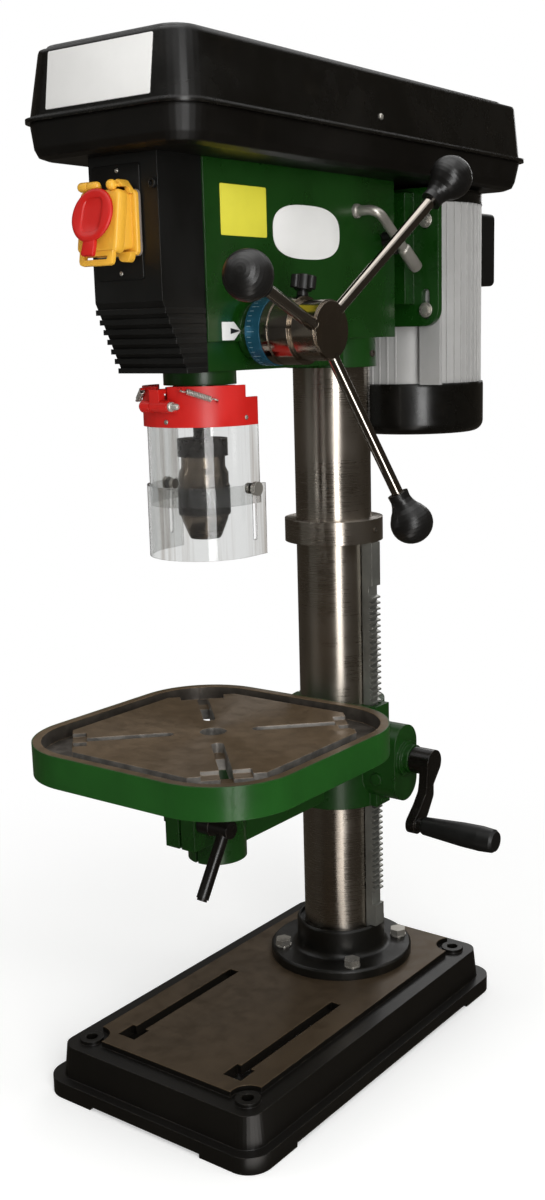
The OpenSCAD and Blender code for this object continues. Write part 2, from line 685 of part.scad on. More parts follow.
module spring_cup() color([0.45, 0.45, 0.47]) in_head() {
    x1 = -head_front_w / 2 - 5.5;
    difference() {
        cx(hub_d / 2 + 1, x1 - 20, x1, feed_y, feed_z);
        cx(hub_d / 2 - 2, x1 - 17, x1 + 1, feed_y, feed_z);
        cx(9 + fit, x1 - 21, x1, feed_y, feed_z);
    }
}

module return_spring() color([0.35, 0.35, 0.38]) in_head() {
    x1 = -head_front_w / 2 - 5.5;
    difference() {
        cx(hub_d / 2 - 2 - gap, x1 - 14, x1 - 2, feed_y, feed_z);
        cx(12, x1 - 15, x1 - 1, feed_y, feed_z);
    }
}

module quill() color([0.62, 0.62, 0.64]) in_head() difference() {
    cz(quill_r, quill_z, quill_z + quill_l);
    cz(spindle_d / 2 + 1.5, quill_z - 1, quill_z + quill_l + 1);
    for (z = [quill_z - 1, quill_z + quill_l - 14]) cz(spindle_d / 2 + 8 + fit, z, z + 15);
    bx(-quill_r, quill_r, quill_pitch + 1.8, quill_r + 1, feed_z - 10, quill_z + quill_l + 1);
    // Rack cut in the back of the quill
    translate([-quill_r, 0, 0]) rotate([90, 0, 90]) linear_extrude(2 * quill_r)
        for (k = [-1:14]) translate([quill_pitch, feed_z + k * gear_pitch])
            polygon([[-2.4, -0.7], [4, -3.05], [4, 3.05], [-2.4, 0.7]]);
}

module spindle_bearings() color([0.7, 0.7, 0.72]) in_head()
    for (z = [quill_z + 1, quill_z + quill_l - 13]) difference() {
        cz(spindle_d / 2 + 8, z, z + 12);
        cz(spindle_d / 2 + fit, z - 1, z + 13);
    }

module spindle() color([0.7, 0.7, 0.72]) in_head() {
    cz(spindle_d / 2, -68, pulley_z + pulley_h + 14);
    cz(spindle_d / 2 + 3, quill_z - 6, quill_z + 1 - gap);
}

module chuck_body() color([0.12, 0.12, 0.12]) in_head() difference() {
    union() {
        cz(chuck_d / 2 - 0.6, -74, -58);
        cz(chuck_d / 2 - 9, -80, -73);
        cz(10, -110, -79);
    }
    cz(spindle_d / 2 + fit, -69, -57);
}

module chuck_sleeve() color([0.5, 0.46, 0.42]) in_head() difference() {
    r = chuck_d / 2;
    rotate_extrude() polygon([[10 + gap, -74 - gap], [r - 3.5, -74 - gap], [r - 3.5, -84], [r - 0.8, -90],
        [r - 0.8, -100], [r, -101], [r, -128.4], [r - 1.6, -129], [r - 2.6, -133], [r - 8.5, -148],
        [r - 10, -150.4], [8, -150.4], [8, -112], [10 + gap, -112]]);
    // The body's neck turns inside the sleeve
    cz(r - 9 + gap, -81, -73);
}

module chuck_jaws() color([0.4, 0.4, 0.42]) in_head()
    for (a = [0, 120, 240]) rotate(a) difference() {
        translate([3.9, 0, 0]) cz(3.3, -149, -110);
        bx(-1, 12, -4, -3, -150, -109);
    }

// GUARD

// Half ring in front with straight sides back to a given depth
module u_shape(r, back) {
    difference() {
        union() {
            circle(r = r);
            if (back > 0) translate([-r, 0]) square([2 * r, back]);
        }
        translate([-2 * r, back]) square([4 * r, 2 * r]);
    }
}
module u_wall(r, t, back, z0, z1) translate([0, 0, z0]) linear_extrude(z1 - z0) difference() {
    u_shape(r, back);
    u_shape(r - t, back + 1);
}

module guard_clamp() color([0.78, 0.08, 0.06]) in_head() difference() {
    union() {
        cz(quill_r + 7, quill_z + 3, quill_z + 15);
        bx(-6, 5, flip_y - 4, -quill_r - 2, quill_z + 11, quill_z + 15);
        bx(-6, 5, flip_y - 4, flip_y + 4, flip_z, quill_z + 15);
        cx(5, -6, 5, flip_y, flip_z);
        bx(-8, 8, quill_r + 2, quill_r + 16, quill_z + 3, quill_z + 15);
    }
    cz(quill_r + fit, quill_z, quill_z + 16);
    bx(-1, 1, quill_r - 2, quill_r + 17, quill_z, quill_z + 16);
    cx(2.5 + fit, -7, 6, flip_y, flip_z);
}

spring_a0 = 68;
spring_a1 = 34;
spring_rr = guard_r + 5;
module guard_collar() color([0.78, 0.08, 0.06]) in_head() {
    difference() {
        union() {
            u_wall(guard_r, 2.9, 17, -45, -20);
            difference() {
                u_wall(guard_r, 2.9, 0, -21, -9);
                bx(-7, 6, -guard_r - 1, 0, -20, -8);
            }
            // Hinge lugs
            for (x = [[-17, -6 - gap], [5 + gap, 14.5]]) {
                cx(5.5, x[0], x[1], flip_y, flip_z);
                bx(x[0], x[1], flip_y, -guard_r + 16, flip_z - 5.5, flip_z + 3);
            }
            // Pegs of the springs
            for (s = [-1, 1]) for (p = [[spring_a0, -11], [spring_a1, -22.5]])
                rod([s * (guard_r - 1) * cos(p[0]), -(guard_r - 1) * sin(p[0]), p[1]],
                    [s * (spring_rr + 2) * cos(p[0]), -(spring_rr + 2) * sin(p[0]), p[1]], 0.9);
        }
        cx(2.5 + fit, -18, 16, flip_y, flip_z);
        // Nothing of the lugs inside the collar
        translate([0, 0, -46]) linear_extrude(40) u_shape(guard_r - 2.9, 18);
    }
    cx(2.5, -18.5, 20, flip_y, flip_z);
    translate([20, flip_y, flip_z]) rotate([0, 90, 0]) cylinder(h = 5, r1 = 2.5, r2 = 0.6);
}

module upper_shield() color([0.85, 0.9, 0.92, 0.35]) in_head() difference() {
    u_wall(shield_r, shield_t, 21, -117, -26);
    cx(2.2 + fit, -shield_r - 1, shield_r + 1, 9, -103);
}

module lower_shield() color([0.85, 0.9, 0.92, 0.35]) in_head() difference() {
    r = shield_r + shield_t + 0.6;
    u_wall(r, shield_t, 26, -165, -99);
    // Slots for the thumb screws
    for (z = [-103, -103 - shield_travel]) cx(2.6, -r - 1, r + 1, 9, z);
    bx(-r - 1, r + 1, 6.4, 11.6, -103 - shield_travel, -103);
}

module guard_screws() color([0.75, 0.77, 0.8]) in_head() for (s = [-1, 1]) scale([s, 1, 1]) {
    r = shield_r + shield_t + 0.6;
    cx(2.2, shield_r - shield_t - 4, r + 4, 9, -103);
    cx(5, shield_r - shield_t - 4, shield_r - shield_t, 9, -103);
    cx(6.5, r + gap, r + 5, 9, -103);
}

// Tension spring: hook, bend, straight run, coils, and the same again, as one tube
coil_r = 1.9;
coil_pitch = 1.5;
bend_r = 1;
run = 2.6;
coil_l = spring_turns * coil_pitch;
function hook_end(f) = [-bend_r - run - coil_r * sin(f), -bend_r, -coil_r * cos(f)];
function bend_end(f) = [-bend_r * sin(f), -bend_r * (1 - cos(f)), -coil_r];
first_end = concat([for (f = [270:-15:0]) hook_end(f)], [for (f = [90:-30:30]) bend_end(f)]);
spring_path = concat(first_end,
    [for (i = [0:8 * spring_turns]) [coil_l * i / (8 * spring_turns),
        coil_r * sin(45 * i), -coil_r * cos(45 * i)]],
    [for (i = [len(first_end) - 1:-1:0]) let (p = first_end[i]) [coil_l - p[0], -p[1], p[2]]]);
function unit(v) = v / norm(v);
function tangent(i) = unit(spring_path[min(i + 1, len(spring_path) - 1)] - spring_path[max(i - 1, 0)]);
// Each ring's frame is carried on from the ring before it
function carried(i, u) = let (t = tangent(i), w = unit(u - (u * t) * t))
    i == len(spring_path) - 1 ? [w] : concat([w], carried(i + 1, w));
spring_frames = carried(0, [0, 1, 0]);
spring_points = [for (i = [0:len(spring_path) - 1]) let (t = tangent(i), u = spring_frames[i],
    v = cross(t, u)) for (j = [0:5]) spring_path[i] + spring_wire * (cos(60 * j) * u + sin(60 * j) * v)];
spring_last = len(spring_path) - 1;
spring_faces = concat(
    [for (i = [0:spring_last - 1]) for (j = [0:5]) let (a = i * 6 + j, b = i * 6 + (j + 1) % 6)
        [a, a + 6, b]],
    [for (i = [0:spring_last - 1]) for (j = [0:5]) let (a = i * 6 + j, b = i * 6 + (j + 1) % 6)
        [b, a + 6, b + 6]],
    [for (j = [1:4]) [0, j, j + 1]],
    [for (j = [1:4]) [spring_last * 6, spring_last * 6 + j + 1, spring_last * 6 + j]]);
// Least gap between two stretches of the tube that are not next to each other
spring_gap = min([for (i = [0:spring_last]) for (j = [i + 6:1:spring_last])
    norm(spring_path[i] - spring_path[j]) - 2 * spring_wire]);
echo(least_gap_of_a_guard_spring = spring_gap);
module tension_spring() polyhedron(points = spring_points, faces = spring_faces, convexity = 10);

// Each spring lies on a chord just outside the collar, from peg to peg
module guard_springs() color([0.75, 0.76, 0.78]) in_head() for (s = [-1, 1]) {
    p = [s * spring_rr * cos(spring_a0), -spring_rr * sin(spring_a0), -11];
    q = [s * spring_rr * cos(spring_a1), -spring_rr * sin(spring_a1), -22.5];
    d = q - p;
    over = (norm(d) - coil_l) / 2;
    translate(p) rotate([0, 0, atan2(d[1], d[0])])
        rotate([0, asin(-d[2] / norm(d)), 0]) rotate([s * 90, 0, 0]) translate([over, 0, 0])
            tension_spring();
}

// FEED

module feed_shaft() color([0.6, 0.6, 0.62]) in_head() {
    cx(9, -head_front_w / 2 - 27, cup_x + 46, feed_y, feed_z);
    translate([-8, feed_y, feed_z]) rotate([90, 0, 90]) linear_extrude(16)
        rotate(180) gear2d(pinion_teeth);
}

arm_angles = [47, 167, 287];
module feed_hub() color([0.55, 0.5, 0.46]) in_head() translate([0, feed_y, feed_z]) difference() {
    union() {
        cx(14, hub_x + gap, cup_x + 1, 0, 0);
        cx(hub_d / 2, cup_x + gap, cup_x + 30, 0, 0);
        cx(hub_d / 2 - 3.5, cup_x + 29, hub_end - 2, 0, 0);
        cx(hub_d / 2 - 5, hub_end - 3, hub_end, 0, 0);
    }
    cx(9 + fit, hub_x, cup_x + 47, 0, 0);
    // Groove round the cup
    translate([cup_x + 8, 0, 0]) rotate([0, 90, 0]) difference() {
        cylinder(h = 2, r = hub_d / 2 + 1);
        cylinder(h = 2, r = hub_d / 2 - 1);
    }
    for (a = arm_angles) rotate([a - 90, 0, 0]) translate([arm_x, 0, 0]) rotate([0, arm_rake, 0])
        cz(arm_d / 2 + fit, 14, 60);
    rotate([-12, 0, 0]) cz(3.5 + fit, hub_d / 2 - 8, hub_d / 2 + 2, cup_x + 22);
}

module feed_arms() color([0.7, 0.7, 0.72]) in_head() translate([0, feed_y, feed_z])
    for (a = arm_angles) rotate([a - 90, 0, 0]) translate([arm_x, 0, 0]) rotate([0, arm_rake, 0])
        cz(arm_d / 2, 14, arm_l);

module feed_knobs() color([0.04, 0.04, 0.04]) in_head() translate([0, feed_y, feed_z])
    for (a = arm_angles) rotate([a - 90, 0, 0]) translate([arm_x, 0, 0]) rotate([0, arm_rake, 0])
        translate([0, 0, arm_l]) rotate_extrude() {
            k = knob_d / 2;
            polygon(concat([[arm_d / 2 + fit, -26.5], [9.8, -26.5], [9.4, -20.5], [10.4, -16.5],
                [12.3, -12.5], [k - 4.6, -8.8]],
                [for (f = [-25:10:75]) [k * cos(f), 4 + (k - 1) * sin(f)]],
                [[2.6, k + 2.8], [0, k + 2.8], [0, 0], [arm_d / 2 + fit, 0]]));
        }

module depth_ring() color([0.1, 0.25, 0.55]) in_head() translate([0, feed_y, feed_z]) difference() {
    cx(hub_d / 2 + 0.6, hub_x + gap, cup_x, 0, 0);
    cx(14 + fit, hub_x, cup_x + 1, 0, 0);
}

module depth_lock_knob() color([0.04, 0.04, 0.04]) in_head() translate([0, feed_y, feed_z])
    rotate([-12, 0, 0]) translate([cup_x + 22, 0, hub_d / 2]) {
        cz(3.5, -7.7, 8);
        cz(5.5, gap, 4);
        cz(8, 6, 19);
        for (a = [0:120:240]) rotate(a) cz(4.5, 7, 18, 8);
    }

// MOTOR AND ITS SLIDE

module motor_plate() color([0.05, 0.3, 0.1]) in_head() difference() {
    w = motor_w / 2;
    union() {
        translate([0, plate_back, 0]) rotate([90, 0, 0]) rbox(2 * w + 8, 140, 0, 7, 18, 109);
        difference() {
            bx(-51, 51, plate_back - 24, plate_back - 6, 62, pan_z - 10);
            bx(-45, 45, plate_back - 19, plate_back - 7, 61, pan_z - 9);
        }
    }
    for (s = [-1, 1]) cy(slide_bar_d / 2 + fit, plate_back - 25, plate_back - 15, s * bar_x, bar_z);
    for (s = [-1, 1]) for (z = [51, 142]) {
        cy(4.5, plate_back - 8, plate_back + 1, s * (w - 11), z);
        cy(4.5, plate_back - 8, plate_back + 1, s * (w - 11), z + 22);
        bx(s * (w - 11) - 4.5, s * (w - 11) + 4.5, plate_back - 8, plate_back + 1, z, z + 22);
    }
}

module slide_bars() color([0.7, 0.7, 0.72]) in_head() for (s = [-1, 1]) {
    cy(slide_bar_d / 2, throat - 74, plate_back - 15, s * bar_x, bar_z);
    translate([s * bar_x, plate_back - 10, bar_z]) rotate([90, 0, 0]) hexagon(slide_bar_d + 2, 0, 9);
}

// Round housing with shallow fins, and two flared feet for the mounting plate
motor_r = motor_w / 2 - 2.6;
module motor_housing() color([0.78, 0.79, 0.8]) in_head() translate([0, motor_y, motor_z]) {
    w = motor_w / 2;
    difference() {
        linear_extrude(motor_h) {
            circle(r = motor_r - 1.6);
            for (r = [[0, 29], [34, 38], [43, 47]]) for (k = [r[0]:r[1]])
                rotate(7.5 * k) translate([67, -0.8]) square([motor_r - 67, 1.6]);
            foot = [[40, -52], [w - 23.5, -w - 1], [w + 1.5, -w - 1], [w + 1.5, -w + 4], [53, -45]];
            polygon(foot);
            polygon([for (k = [4:-1:0]) [-foot[k][0], foot[k][1]]]);
        }
        cz(w - 13, -1, motor_h + 1);
    }
}

module motor_end_caps() color([0.04, 0.04, 0.04]) in_head() translate([0, motor_y, motor_z]) {
    w = motor_w / 2;
    difference() {
        union() {
            cz(w - 2, motor_h, motor_h + 11);
            cz(w - 5, motor_h + 10, motor_h + 14);
            cz(w - 13 - gap, motor_h - 5, motor_h + 1);
        }
        cz(w - 20, motor_h - 6, motor_h + 5);
        cz(8 + fit, motor_h - 6, motor_h + 15);
    }
    difference() {
        rotate_extrude() polygon(concat([[0, 0], [w - 0.5, 0], [w, -3], [w, -43]],
            [for (f = [0:10:90]) [w - 12 + 12 * cos(f), -43 - 12 * sin(f)]], [[0, -55]]));
        cz(w - 6, -50, -10);
        cz(8 + fit, -11, 1);
        for (a = [0:30:330]) rotate(a) bx(30, 58, -2, 2, -56, -49);
    }
}

// The box is hollowed to the round housing it lies against
module capacitor_box() color([0.05, 0.05, 0.05]) in_head() translate([0, motor_y, 0]) difference() {
    translate([20, motor_w / 2, 0]) rotate([-90, 0, 0]) rbox(60, 80, -27, 17, 6, -123);
    cz(motor_r + fit, 0, 300);
}

module motor_stator() color([0.45, 0.3, 0.2]) in_head() translate([0, motor_y, motor_z]) difference() {
    cz(motor_w / 2 - 13 - fit, 30, 150);
    cz(38, 29, 151);
}

module motor_rotor() color([0.5, 0.5, 0.52]) in_head() translate([0, motor_y, motor_z]) {
    cz(8, -46, pulley_z + pulley_h - motor_z);
    cz(37.4, 35, 145);
    cz(14, -36, -20);
    for (a = [0:45:315]) rotate(a) bx(10, 62, -1.5, 1.5, -36, -20);
}

// Slide lock knob
module slide_knob() color([0.04, 0.04, 0.04]) in_head() translate([0, throat + 32, bar_z - 2]) {
    cx(4, bar_x + slide_bar_d / 2 + gap, head_w / 2 + 8, 0, 0);
    cx(7, head_w / 2 + gap, head_w / 2 + 15, 0, 0);
    for (a = [30:120:270]) cx(4.6, head_w / 2 + 4, head_w / 2 + 14, 9 * cos(a), 9 * sin(a));
}

module tension_lever() color([0.7, 0.7, 0.72]) in_head() translate([0, throat - 20, bar_z + 25]) {
    x = head_w / 2 + 25;
    cx(7, -head_w / 2 - 3, head_w / 2 + 4, 0, 0);
    cx(5, head_w / 2 + 3, x, 0, 0);
    translate([x, 0, 0]) sphere(r = 5.4, $fn = 48);
    rod([x, 0, 0], [x, 68, -50], 5);
    rod([x, 48, -35.3], [x, 73, -53.7], 6.8);
    cx(10.5, -8, 8, 0, 0);
}

// PULLEYS AND BELTS

module idler_post() color([0.5, 0.5, 0.52]) in_head() {
    cz(20, pan_z + cover_t, pulley_z - 1, 0, idler_y);
    cz(7, pan_z - 8, pulley_z + pulley_h + 4, 0, idler_y);
    translate([0, idler_y, pulley_z + pulley_h + gap]) cylinder(h = 3, r = 9);
    hexagon(16, pan_z - 8, pan_z, 0, idler_y);
}

// Stepped pulley with V grooves, its lowest step first
module pulley(steps, bore) translate([0, 0, pulley_z]) rotate_extrude() polygon(concat(
    [[bore, 0]],
    [for (k = [0:3]) for (p = [[0, 0], [0, 1], [-7, step_h / 2 - 2.5], [-7, step_h / 2 + 2.5],
        [0, step_h - 1], [0, step_h]]) [steps[k] + p[0], k * step_h + p[1]]],
    [[bore, pulley_h]]));

module idler_pulley() color([0.65, 0.66, 0.68]) in_head()
    translate([0, idler_y, 0]) pulley(idler_steps, 7 + fit);

module spindle_pulley() color([0.65, 0.66, 0.68]) in_head() {
    pulley(spindle_steps, spindle_d / 2 + fit);
    difference() {
        cz(14, guide_top - 13 + gap, pulley_z + 1);
        cz(spindle_d / 2 + fit, guide_top - 14, pulley_z + 2);
    }
}

module motor_pulley() color([0.65, 0.66, 0.68]) in_head()
    translate([0, motor_y, 0]) pulley(motor_steps, 8 + fit);

// Outline round two pulleys on the Y axis
module belt_outline(ra, ya, rb, yb) {
    d = yb - ya;
    s = (ra - rb) / d;
    c = sqrt(1 - s * s);
    translate([0, ya]) circle(r = ra);
    translate([0, yb]) circle(r = rb);
    // The straight runs lie a little inside the circles' tangents, so that they cross the arcs cleanly
    a = ra - 0.2;
    b = rb - 0.2;
    polygon([[-a * c, ya + a * s], [a * c, ya + a * s], [b * c, yb + b * s], [-b * c, yb + b * s]]);
}
module belt(ra, ya, rb, yb, k) translate([0, 0, pulley_z + (k + 0.5) * step_h])
    for (p = [[-6.6, 2.2], [-1.5, 4]]) translate([0, 0, -p[1]]) linear_extrude(2 * p[1]) difference() {
        belt_outline(ra + 1, ya, rb + 1, yb);
        belt_outline(ra + p[0], ya, rb + p[0], yb);
    }

module drive_belts() color([0.06, 0.06, 0.06]) in_head() {
    belt(idler_steps[1], idler_y, motor_steps[1], motor_y, 1);
    belt(spindle_steps[2], 0, idler_steps[2], idler_y, 2);
}

base();
column_flange();
flange_bolts();
column();
ring_collar();
rack();
table_bracket();
bracket_bolts();
worm_shaft();
crank_arm();
crank_grip();
lift_gear();
column_lock_lever();
table_arm();
table_lock_lever();
table();
head_casting();
front_cover();
switch_housing();
switch_flap();
stop_paddle();
on_button();
off_button();
belt_pan();
pan_hinges();
lid();
spring_cup();
return_spring();
quill();
spindle_bearings();
guard_clamp();
guard_collar();
guard_springs();
upper_shield();
guard_screws();
lower_shield();
spindle();
chuck_body();
chuck_sleeve();
chuck_jaws();
feed_shaft();
feed_hub();
feed_arms();
feed_knobs();
depth_ring();
depth_lock_knob();
motor_plate();
slide_bars();
motor_housing();
motor_end_caps();
capacitor_box();
motor_stator();
motor_rotor();
motor_pulley();
slide_knob();
tension_lever();
idler_post();
idler_pulley();
spindle_pulley();
drive_belts();
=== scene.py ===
import json
import math

import bmesh
import bpy
from mathutils import Matrix, Vector

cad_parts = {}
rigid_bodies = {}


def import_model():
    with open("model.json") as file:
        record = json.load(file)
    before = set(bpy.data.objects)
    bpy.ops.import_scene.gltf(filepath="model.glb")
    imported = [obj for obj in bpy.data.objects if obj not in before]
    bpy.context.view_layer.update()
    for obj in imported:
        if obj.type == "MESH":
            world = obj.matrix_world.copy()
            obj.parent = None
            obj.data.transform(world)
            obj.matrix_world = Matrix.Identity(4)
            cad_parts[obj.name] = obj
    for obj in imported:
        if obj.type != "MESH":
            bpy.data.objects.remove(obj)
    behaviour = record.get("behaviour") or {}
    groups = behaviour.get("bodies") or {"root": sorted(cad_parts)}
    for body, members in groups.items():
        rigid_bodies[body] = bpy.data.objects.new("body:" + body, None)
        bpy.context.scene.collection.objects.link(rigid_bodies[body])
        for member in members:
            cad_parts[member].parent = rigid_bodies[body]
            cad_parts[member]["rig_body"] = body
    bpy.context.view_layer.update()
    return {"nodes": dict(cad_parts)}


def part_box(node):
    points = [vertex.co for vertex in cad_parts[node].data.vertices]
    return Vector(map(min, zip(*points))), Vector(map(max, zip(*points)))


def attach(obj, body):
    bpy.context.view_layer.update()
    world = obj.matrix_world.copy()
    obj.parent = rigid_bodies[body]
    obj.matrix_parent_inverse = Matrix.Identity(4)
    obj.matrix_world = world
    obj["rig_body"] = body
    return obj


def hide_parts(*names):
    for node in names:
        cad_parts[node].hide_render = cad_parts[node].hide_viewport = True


for default in list(bpy.data.objects):
    bpy.data.objects.remove(default)
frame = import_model()
NODES = frame["nodes"]
BODY = {name: o["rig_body"] for name, o in NODES.items()}

# Sizes and places in the model's frame, in millimetres

MM = 0.001
HEAD_Y, HEAD_Z = -100.0, 706.0  # the origin of the head's own frame
HEAD_HALF = -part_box("head_casting")[0].x / MM
CHUCK_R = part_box("chuck_sleeve")[1].x / MM
GUARD_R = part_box("guard_collar")[1].x / MM
HUB_Y, HUB_Z = 35 + HEAD_Y, 37 + HEAD_Z  # the axis of the feed hub


def head(x, y, z):
    """A point of the head's frame as one of the model's."""
    return (x, y + HEAD_Y, z + HEAD_Z)


def add_object(name, data):
    o = bpy.data.objects.new(name, data)
    bpy.context.scene.collection.objects.link(o)
    return o


# Camera at the photograph's place and angle

PHOTO_W, PHOTO_H = 545, 1200
FOCAL_PX, AXIS_X_PX, AXIS_Y_PX = 1350.147, 308.551, 621.782  # focal length, and the lens axis in the picture
SENSOR = 36
CAM_AT = Vector((0.81607, -1.05880, 0.74131))


def look(az, el, roll):
    """The turn of a camera and its right-hand side, from three angles in degrees."""
    a, e, r = (math.radians(x) for x in (az, el, roll))
    fwd = Vector((-math.sin(a) * math.cos(e), math.cos(a) * math.cos(e), -math.sin(e)))
    right = Vector((math.cos(a), math.sin(a), 0))
    up = right.cross(fwd)
    x = math.cos(r) * right + math.sin(r) * up
    y = -math.sin(r) * right + math.cos(r) * up
    return Matrix((x, y, -fwd)).transposed(), right


cam_turn, cam_right = look(36.095, 12.093, -1.251)
cam_data = bpy.data.cameras.new("camera")
cam = add_object("camera", cam_data)
cam.matrix_world = Matrix.Translation(CAM_AT) @ cam_turn.to_4x4()
cam_data.sensor_width = SENSOR
cam_data.lens = FOCAL_PX / PHOTO_H * SENSOR
cam_data.shift_x = (PHOTO_W / 2 - AXIS_X_PX) / PHOTO_H
cam_data.shift_y = (AXIS_Y_PX - PHOTO_H / 2) / PHOTO_H
cam_data.clip_start, cam_data.clip_end = 0.05, 50
bpy.context.scene.camera = cam


# Materials

M = {}


def lin(rgb, k=1.0):
    """The linear colour of an sRGB one in 0 to 255, each channel times k first."""
    def one(c):
        c *= k / 255
        return c / 12.92 if c <= 0.04045 else ((c + 0.055) / 1.055) ** 2.4

    return tuple(one(c) for c in rgb) + (1.0,)


def shade(colour, k):
    """A linear colour times k."""
    return tuple(min(1.0, c * k) for c in colour[:3]) + (1.0,)


class Nodes:
    """A material and a short way to write its node tree."""

    def __init__(self, name):
        M[name] = self.mat = bpy.data.materials.new("look_" + name)
        self.mat.use_nodes = True
        self.tree = self.mat.node_tree
        self.bsdf = self.tree.nodes["Principled BSDF"]
        self.coord = self.add("ShaderNodeTexCoord")

    def add(self, kind, **settings):
        n = self.tree.nodes.new(kind)
        for k, v in settings.items():
            setattr(n, k, v)
        return n

    def put(self, value, socket):
        if isinstance(value, bpy.types.NodeSocket):
            self.tree.links.new(value, socket)
        else:
            socket.default_value = value

    def mapped(self, scale=(1, 1, 1), loc=(0, 0, 0)):
        m = self.add("ShaderNodeMapping")
        self.put(self.coord.outputs["Object"], m.inputs["Vector"])
        m.inputs["Scale"].default_value = scale
        m.inputs["Location"].default_value = loc
        return m.outputs[0]

    def noise(self, vec, scale=1.0, detail=4.0, rough=0.55):
        n = self.add("ShaderNodeTexNoise")
        self.put(vec, n.inputs["Vector"])
        n.inputs["Scale"].default_value = scale
        n.inputs["Detail"].default_value = detail
        n.inputs["Roughness"].default_value = rough
        return n.outputs["Fac"]

    def ramp(self, fac, lo, hi, a=0.0, b=1.0):
        n = self.add("ShaderNodeMapRange")
        n.interpolation_type = "SMOOTHSTEP"
        self.put(fac, n.inputs["Value"])
        n.inputs["From Min"].default_value = lo
        n.inputs["From Max"].default_value = hi
        n.inputs["To Min"].default_value = a
        n.inputs["To Max"].default_value = b
        return n.outputs["Result"]

    def math(self, op, a, b=0.0):
        n = self.add("ShaderNodeMath", operation=op)
        self.put(a, n.inputs[0])
        self.put(b, n.inputs[1])
        return n.outputs[0]

    def length(self, x, y):
        return self.math("SQRT", self.math("ADD", self.math("MULTIPLY", x, x), self.math("MULTIPLY", y, y)))

    def mix(self, fac, a, b, kind="RGBA"):
        n = self.add("ShaderNodeMix", data_type=kind)
        first, second, result = {"FLOAT": (2, 3, 0), "VECTOR": (4, 5, 1), "RGBA": (6, 7, 2)}[kind]
        self.put(fac, n.inputs[0])
        self.put(a, n.inputs[first])
        self.put(b, n.inputs[second])
        return n.outputs[result]

    def joined(self, x, y=0.0):
        n = self.add("ShaderNodeCombineXYZ")
        self.put(x, n.inputs[0])
        self.put(y, n.inputs[1])
        return n.outputs[0]

    def xyz(self, vec=None):
        n = self.add("ShaderNodeSeparateXYZ")
        self.put(self.coord.outputs["Object"] if vec is None else vec, n.inputs[0])
        return n.outputs

    def edges(self, radius):
        """How sharp an edge is near here, from 0 on a flat to 1, and the rounded normal."""
        bev = self.add("ShaderNodeBevel", samples=4)
        bev.inputs["Radius"].default_value = radius
        geo = self.add("ShaderNodeNewGeometry")
        dot = self.add("ShaderNodeVectorMath", operation="DOT_PRODUCT")
        self.put(bev.outputs[0], dot.inputs[0])
        self.put(geo.outputs["Normal"], dot.inputs[1])
        return self.ramp(dot.outputs["Value"], 0.985, 0.8), bev.outputs[0]

    def bump(self, height, strength, distance, normal=None):
        n = self.add("ShaderNodeBump")
        self.put(height, n.inputs["Height"])
        n.inputs["Strength"].default_value = strength
        n.inputs["Distance"].default_value = distance
        if normal is not None:
            self.put(normal, n.inputs["Normal"])
        return n.outputs[0]


def paint(name, colour, rough=0.3, metal=0.0, spec=0.5, coat=0.0, coat_rough=0.08, blotch=0.12,
          blotch_scale=14.0, grain=300.0, grain_h=0.00006, grain_s=0.35, edge=0.0012, worn=None,
          worn_amount=0.6, dust=0.0, swing=0.08, wave=0.0, stretch=None, stretch_s=0.2, specks=None,
          aniso=0.0):
    """A finish with colour change, roughness change, a fine relief and rounded, worn edges."""
    n = Nodes(name)
    base = lin(colour)
    light = shade(base, 1 + blotch)
    big = n.noise(n.mapped(), blotch_scale, 5, 0.6)
    fine = n.noise(n.mapped(loc=(3, 1, 7)), grain, 3, 0.6)
    colour_out = n.mix(n.ramp(big, 0.3, 0.7), shade(base, 1 - blotch), light)
    rough_out = n.ramp(big, 0.3, 0.7, max(0.02, rough - swing), min(1, rough + swing))
    heights = [(fine, grain_s, grain_h)]
    if wave:
        heights.insert(0, (n.noise(n.mapped(loc=(9, 2, 4)), 45, 2, 0.5), wave, 0.0008))
    if stretch:
        lines = n.noise(n.mapped(stretch, (1, 5, 2)), 1.0, 4, 0.7)
        heights.append((lines, stretch_s, 0.00005))
        rough_out = n.math("ADD", rough_out, n.ramp(lines, 0.3, 0.7, -0.05, 0.06))
        colour_out = n.mix(n.ramp(lines, 0.35, 0.75, 0.0, 0.35), colour_out, light)
    if specks:
        dots = n.noise(n.mapped(loc=(5, 5, 1)), 900, 2, 0.5)
        colour_out = n.mix(n.ramp(dots, 0.68, 0.78, 0, 0.7), colour_out, lin(specks))
    if dust:
        low = n.noise(n.mapped(loc=(2, 8, 3)), 30, 8, 0.7)
        colour_out = n.mix(n.ramp(low, 0.5, 0.8, 0, dust), colour_out, lin((105, 92, 74)))
    sharp, normal = n.edges(edge)
    if worn:
        chips = n.noise(n.mapped(loc=(7, 7, 2)), 160, 6, 0.7)
        fac = n.math("MULTIPLY", sharp, n.ramp(chips, 0.45, 0.6, 0, worn_amount))
        colour_out = n.mix(fac, colour_out, lin(worn))
    for h, s, d in heights:
        normal = n.bump(h, s, d, normal)
    b = n.bsdf.inputs
    n.put(colour_out, b["Base Color"])
    n.put(rough_out, b["Roughness"])
    n.put(normal, b["Normal"])
    b["Metallic"].default_value = metal
    b["Specular IOR Level"].default_value = spec
    b["Coat Weight"].default_value = coat
    b["Coat Roughness"].default_value = coat_rough
    b["Anisotropic"].default_value = aniso
    b["Anisotropic Rotation"].default_value = 0.25
    return n


